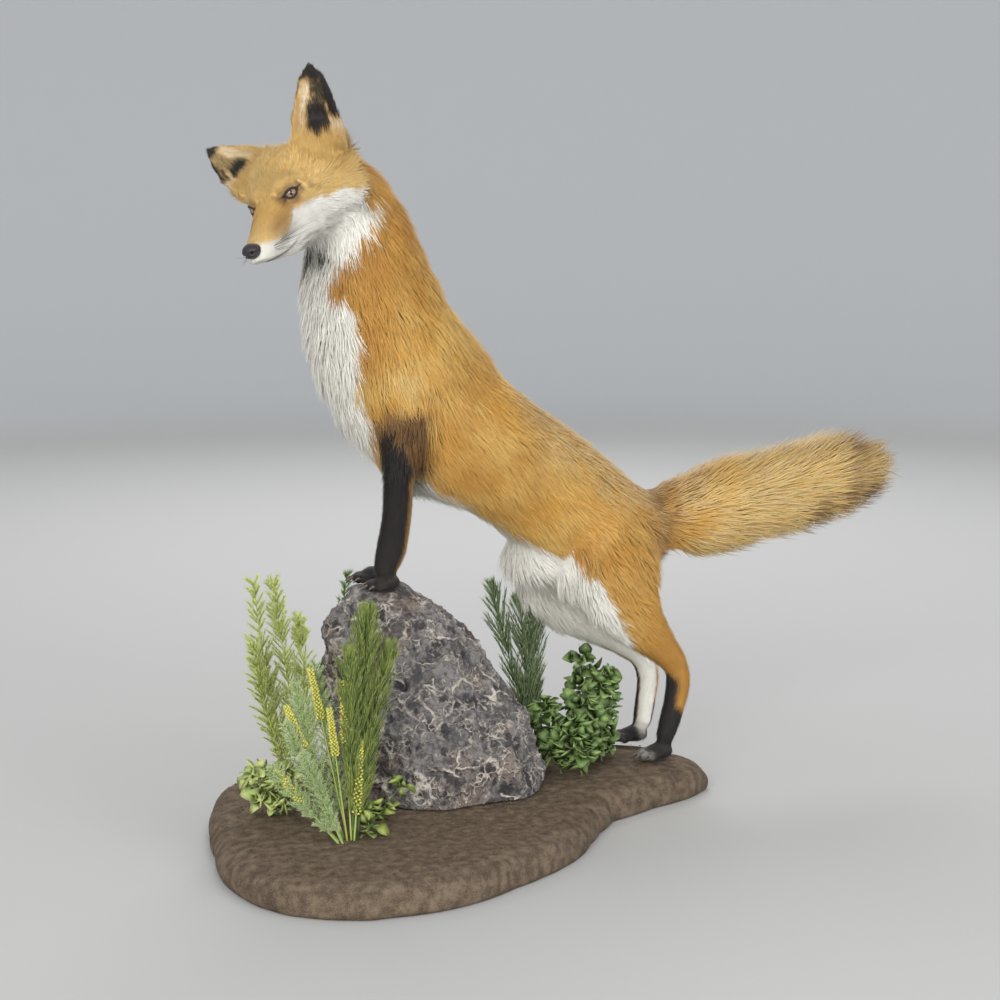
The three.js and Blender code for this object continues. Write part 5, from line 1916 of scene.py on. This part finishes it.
def needled_lot(start, shoot, length, direction, habit, rng):
    """The needles of a sprig's shoots."""
    which = np.repeat(np.arange(len(start)), NEEDLES)
    count = len(which)
    share = np.tile(np.linspace(0.12, 1.0, NEEDLES), len(start))
    base = start[which] + (length[which] * share)[:, None] * shoot[which]
    spin = np.tile(np.arange(NEEDLES) * 2.2, len(start)) + rng.normal(0, 0.4, count)
    first = unit(np.cross(shoot, direction + [0.3, 0.1, 0.2]))[which]
    out = turned(spin, first, np.cross(shoot[which], first))
    way = unit(out + habit["slim"] * shoot[which] + 0.3 * habit["slim"] * direction)
    size = habit["long"] * rng.uniform(0.7, 1.15, count) * (1.15 - 0.4 * share)
    points, faces, along = needles(from_body(base), way, MM * size, habit["thick"] * MM)
    chance = rng.random(len(start))[which] * 0.6 + 0.4 * rng.random(count)
    along = 0.25 + 0.75 * np.repeat(0.4 + 0.6 * share, 4) * along**0.5
    return points, faces, along, np.repeat(chance, 4)


def grow_sprig(kind, sprig, shoots, rng):
    """One sprig: a stem, side shoots that leave it at an angle and end on its outline, and needles or
    leaves along them. Returns (points, faces, share along, chance) of each lot."""
    foot, tip, wide, fullest, bow = sprig
    stem, path, direction, across, upward = stem_of(foot, tip, bow, 1.5)
    habit = HABITS[kind]
    lean = habit["lean"]
    t = np.sort(rng.uniform(habit["low"], 0.97, shoots))
    bearing = np.arange(shoots) * SPIRAL + rng.normal(0, 0.3, shoots)
    reach = wide * swell_at(t, fullest, habit["blunt"]) * rng.uniform(0.6, 1.0, shoots)
    start = along_path(path, t)
    shoot = unit(turned(bearing, across, upward) + lean * direction)
    room = (1 - t) * np.linalg.norm(path[-1] - path[0]) * 0.8 + 4
    length = np.minimum(reach * np.sqrt(1 + lean**2), room)
    points, faces, along = needles(from_body(start), shoot, MM * length, 0.45 * MM, rings=2)
    lots = [stem, (points, faces, 0.2 * along, np.repeat(rng.random(shoots), 7))]
    if kind == "leafy":
        fullness = swell_at(t, fullest, 0.5)
        return [*lots, leafy_lot(start, shoot, length, direction, fullness, rng)]
    return [*lots, needled_lot(start, shoot, length, direction, habit, rng)]


def planted(name, lots, material):
    """All lots of a plant as one joined mesh."""
    along, chance = (np.concatenate([lot[k] for lot in lots]) for k in (2, 3))
    leaf = np.stack([along, chance, 0 * along, 0 * along + 1], -1)
    return piece_from(name, *joined([lot[:2] for lot in lots]), material, numbers={"leaf": leaf})


def make_plant(name, rng):
    """One plant: its sprigs, and the sprout at the plume's foot."""
    kind, low, high, shoots, sprigs = PLANTS[name]
    lots = [lot for sprig in sprigs for lot in grow_sprig(kind, sprig, shoots, rng)]
    if name == "plant_plume":
        lots += grow_sprig("leafy", SPROUT, SPROUT_SHOOTS, rng)
    return planted(name + "_leaves", lots, leaf_material(low, high))


# Each flower spike: foot, tip, the share of the way up where its buds start, and its half thickness.
SPIKES = (
    ((-238, -216), (-228, -212, 136), 0.30, 3.2),
    ((-240, -214), (-244, -200, 196), 0.62, 2.6),
    ((-242, -210), (-272, -180, 206), 0.72, 2.8),
    ((-246, -208), (-300, -188, 172), 0.68, 2.8),
    ((-250, -214), (-318, -206, 112), 0.58, 2.8),
    ((-244, -214), (-258, -200, 168), 0.66, 2.4),
)
BUDS = 110  # on each spike


def make_flowers(rng):
    """Yellow spikes in front of the rock and yellow tips on the sprigs: buds in spirals on a stem."""
    lots = []
    for foot, tip, from_share, thick in SPIKES:
        stem, path, direction, across, upward = stem_of(foot, tip, 0, 1.2)
        t = np.linspace(from_share, 1.0, BUDS)
        out = turned(np.arange(BUDS) * SPIRAL, across, upward)
        base = along_path(path, t) + (thick * (1.15 - t) / (1.15 - from_share))[:, None] * out
        way = unit(out + 0.6 * direction)
        length = MM * rng.uniform(2.6, 4.6, BUDS)
        points, faces, along = needles(from_body(base), way, length, 1.5 * MM, rings=2)
        lots += [stem, (points, faces, 0.4 + 0.6 * along, np.repeat(rng.random(BUDS), 7))]
    return planted("flower_spikes", lots, leaf_material("olive", "flower", "flower_yellow"))


# ---- stage
CAMERA_AT = (-812.3, -2231.6, 690.0)  # body frame, millimetres
CAMERA_BEARING = 20.0  # degrees from +Y towards +X
CAMERA_PITCH = 8.3  # degrees below level
CAMERA_LENS = 76.03  # millimetres on a 36 mm sensor
LAMP_TARGET = Vector((0, 0, 0.42))


def placed(name, data, place, ahead):
    """A camera or lamp that looks the way ahead."""
    made = bpy.data.objects.new(name, data)
    made.location = place
    made.rotation_mode = "QUATERNION"
    made.rotation_quaternion = Vector(ahead).to_track_quat("-Z", "Y")
    bpy.context.scene.collection.objects.link(made)
    return made


def set_camera():
    """A camera that looks down at the animal's left side."""
    camera = bpy.data.cameras.new("camera")
    camera.sensor_width = 36.0
    camera.lens = CAMERA_LENS
    camera.clip_end = 60
    bearing, pitch = math.radians(CAMERA_BEARING), math.radians(CAMERA_PITCH)
    ahead = (math.sin(bearing) * math.cos(pitch), math.cos(bearing) * math.cos(pitch), -math.sin(pitch))
    bpy.context.scene.camera = placed("camera", camera, from_body(CAMERA_AT), ahead)


def make_floor():
    """A plain pale disc whose rim rises into a wall: radius and height follow a quarter circle."""
    stage = bpy.context.scene.fox_stage
    around, bend = 96, np.linspace(0, np.pi / 2, 13)
    radius = np.concatenate([[1.5, 3.0], 4.2 + 1.6 * np.sin(bend), [5.8]])
    height = np.concatenate([[0, 0], 1.6 * (1 - np.cos(bend)), [2.2]])
    _, turn = globe_turns(len(radius), around)
    radius, height = (np.append(0, np.repeat(k, around)) for k in (radius, height))
    points = np.stack([radius * np.cos(turn[:-1]), radius * np.sin(turn[:-1]), height], -1)
    k = np.arange(around)
    middle = np.stack([np.zeros_like(k), 1 + k, 1 + (k + 1) % around], -1)
    walls = ring_quads(len(points) // around, around)[:, ::-1]
    made, tree = new_material("studio_floor")
    far = node(tree, "ShaderNodeVectorMath", {0: object_place(tree)}, operation="LENGTH").outputs["Value"]
    colour = blended(tree, stepped(tree, far, 3.6, 4.6), stage.floor, stage.backdrop)
    finished(made, colour, Roughness=0.9, Specular_IOR_Level=0.1)
    return piece_from("studio_floor", points, np.concatenate([middle, walls]), made)


def set_lamps():
    """A pale sky all round and three soft lamps."""
    stage = bpy.context.scene.fox_stage
    world = bpy.data.worlds.new("studio_light")
    bpy.context.scene.world = world
    world.use_nodes = True
    sky = world.node_tree.nodes["Background"]
    give(world.node_tree, sky, {"Strength": stage.sky, "Color": (0.96, 0.98, 1.0)})
    lamps = {
        # place in metres, size, power, colour
        "key_lamp": ((-2.2, -3.0, 1.5), 2.4, stage.key, (1.0, 0.985, 0.96)),
        "fill_lamp": ((1.3, -3.2, 1.1), 2.0, stage.fill, (0.97, 0.98, 1.0)),
        "rear_lamp": ((0.8, 2.4, 2.4), 2.0, stage.fill, (1.0, 1.0, 1.0)),
    }
    for name, (place, size, power, colour) in lamps.items():
        data = bpy.data.lights.new(name, "AREA")
        data.shape = "DISK"
        data.size = size
        data.energy = power
        data.color = colour
        placed(name, data, place, LAMP_TARGET - Vector(place))


def set_stage():
    """The camera, a plain pale floor that curves up into a backdrop all round, and soft lamps."""
    set_camera()
    floor = make_floor()
    set_lamps()
    bpy.context.scene.view_settings.view_transform = "Standard"


# ---- operators
def rng_for(number):
    """A random stream of a piece's own, so that pieces don't disturb each other's draws."""
    return np.random.default_rng(1000 * bpy.context.scene.fox_coat.seed + number)


def hand_over(made, slot, *nodes):
    """The piece rides on the body and stands for its CAD nodes, which it hides. The slot is not used."""
    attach(made, BODY)
    if nodes:
        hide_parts(*nodes)
    return made


class FOX_OT_stage(bpy.types.Operator):
    """Camera, floor, backdrop and lamps"""

    bl_idname = "fox.stage"
    bl_label = "Stage"

    def execute(self, context):
        set_stage()
        return {"FINISHED"}


class FOX_OT_skin(bpy.types.Operator):
    """One skin for the head, ears, neck, trunk, tail, legs and paws"""

    bl_idname = "fox.skin"
    bl_label = "Skin"

    def execute(self, context):
        hand_over(draw_skin(), "red_coat", *FLESH)
        return {"FINISHED"}


class FOX_OT_coat(bpy.types.Operator):
    """The coat over the skin, in pieces of closed tufts"""

    bl_idname = "fox.coat"
    bl_label = "Coat"

    def execute(self, context):
        skin = bpy.data.objects.get("fox_skin")
        if skin is None:
            raise RuntimeError("the coat needs the skin: run fox.skin first")
        slots = {"coat_legs": "dark_coat", "coat_ears": "dark_coat", "coat_tail": "straw_coat"}
        for k, name in enumerate(COAT_PIECES):
            hand_over(grow_tufts(name, skin, rng_for(k)), slots.get(name, "red_coat"))
        return {"FINISHED"}


class FOX_OT_features(bpy.types.Operator):
    """Eyes, nose, claws and whiskers"""

    bl_idname = "fox.features"
    bl_label = "Eyes, nose and claws"

    def execute(self, context):
        glass = eye_material()
        hand_over(make_eye(1, glass), "eye_glass", "eye_left")
        hand_over(make_eye(-1, glass), "eye_glass", "eye_right")
        hand_over(make_nose(), "nose_leather", "nose")
        hand_over(make_claws(), "dark_coat")
        hand_over(make_whiskers(rng_for(40)), "dark_coat")
        return {"FINISHED"}


class FOX_OT_ground(bpy.types.Operator):
    """The rock and the earth-covered base"""

    bl_idname = "fox.ground"
    bl_label = "Rock and earth"

    def execute(self, context):
        hand_over(make_rock(), "stone", "rock")
        hand_over(make_earth(rng_for(50)), "earth", "base")
        return {"FINISHED"}


class FOX_OT_plants(bpy.types.Operator):
    """The artificial plants"""

    bl_idname = "fox.plants"
    bl_label = "Plants"

    def execute(self, context):
        for k, name in enumerate(PLANTS):
            hand_over(make_plant(name, rng_for(60 + k)), "foliage", name)
        hand_over(make_flowers(rng_for(80)), "foliage")
        return {"FINISHED"}


STEPS = (FOX_OT_stage, FOX_OT_skin, FOX_OT_coat, FOX_OT_features, FOX_OT_ground, FOX_OT_plants)


class FOX_PT_panel(bpy.types.Panel):
    """Lists the steps and settings in the sidebar"""

    bl_idname = "FOX_PT_panel"
    bl_label = "Mounted red fox"
    bl_space_type = "VIEW_3D"
    bl_region_type = "UI"
    bl_category = "Fox mount"

    def draw(self, context):
        for step in STEPS:
            self.layout.operator(step.bl_idname)
        for key in SETTINGS:
            group = getattr(context.scene, key)
            box = self.layout.box()
            for field in group.bl_rna.properties:
                if field.identifier not in ("rna_type", "name"):
                    box.prop(group, field.identifier)


SETTINGS = {
    "fox_coat": FoxCoatSettings,
    "fox_features": FoxFeatureSettings,
    "fox_ground": FoxGroundSettings,
    "fox_plants": FoxPlantSettings,
    "fox_stage": FoxStageSettings,
}
CLASSES = (*SETTINGS.values(), *STEPS, FOX_PT_panel)


def register():
    for cls in CLASSES:
        bpy.utils.register_class(cls)
    for key, group in SETTINGS.items():
        setattr(bpy.types.Scene, key, PointerProperty(type=group))


def unregister():
    for key in SETTINGS:
        delattr(bpy.types.Scene, key)
    for cls in reversed(CLASSES):
        bpy.utils.unregister_class(cls)


def main():
    """Makes every piece in order."""
    register()
    for step in STEPS:
        group, name = step.bl_idname.split(".")
        getattr(getattr(bpy.ops, group), name)()


if __name__ == "__main__":
    main()
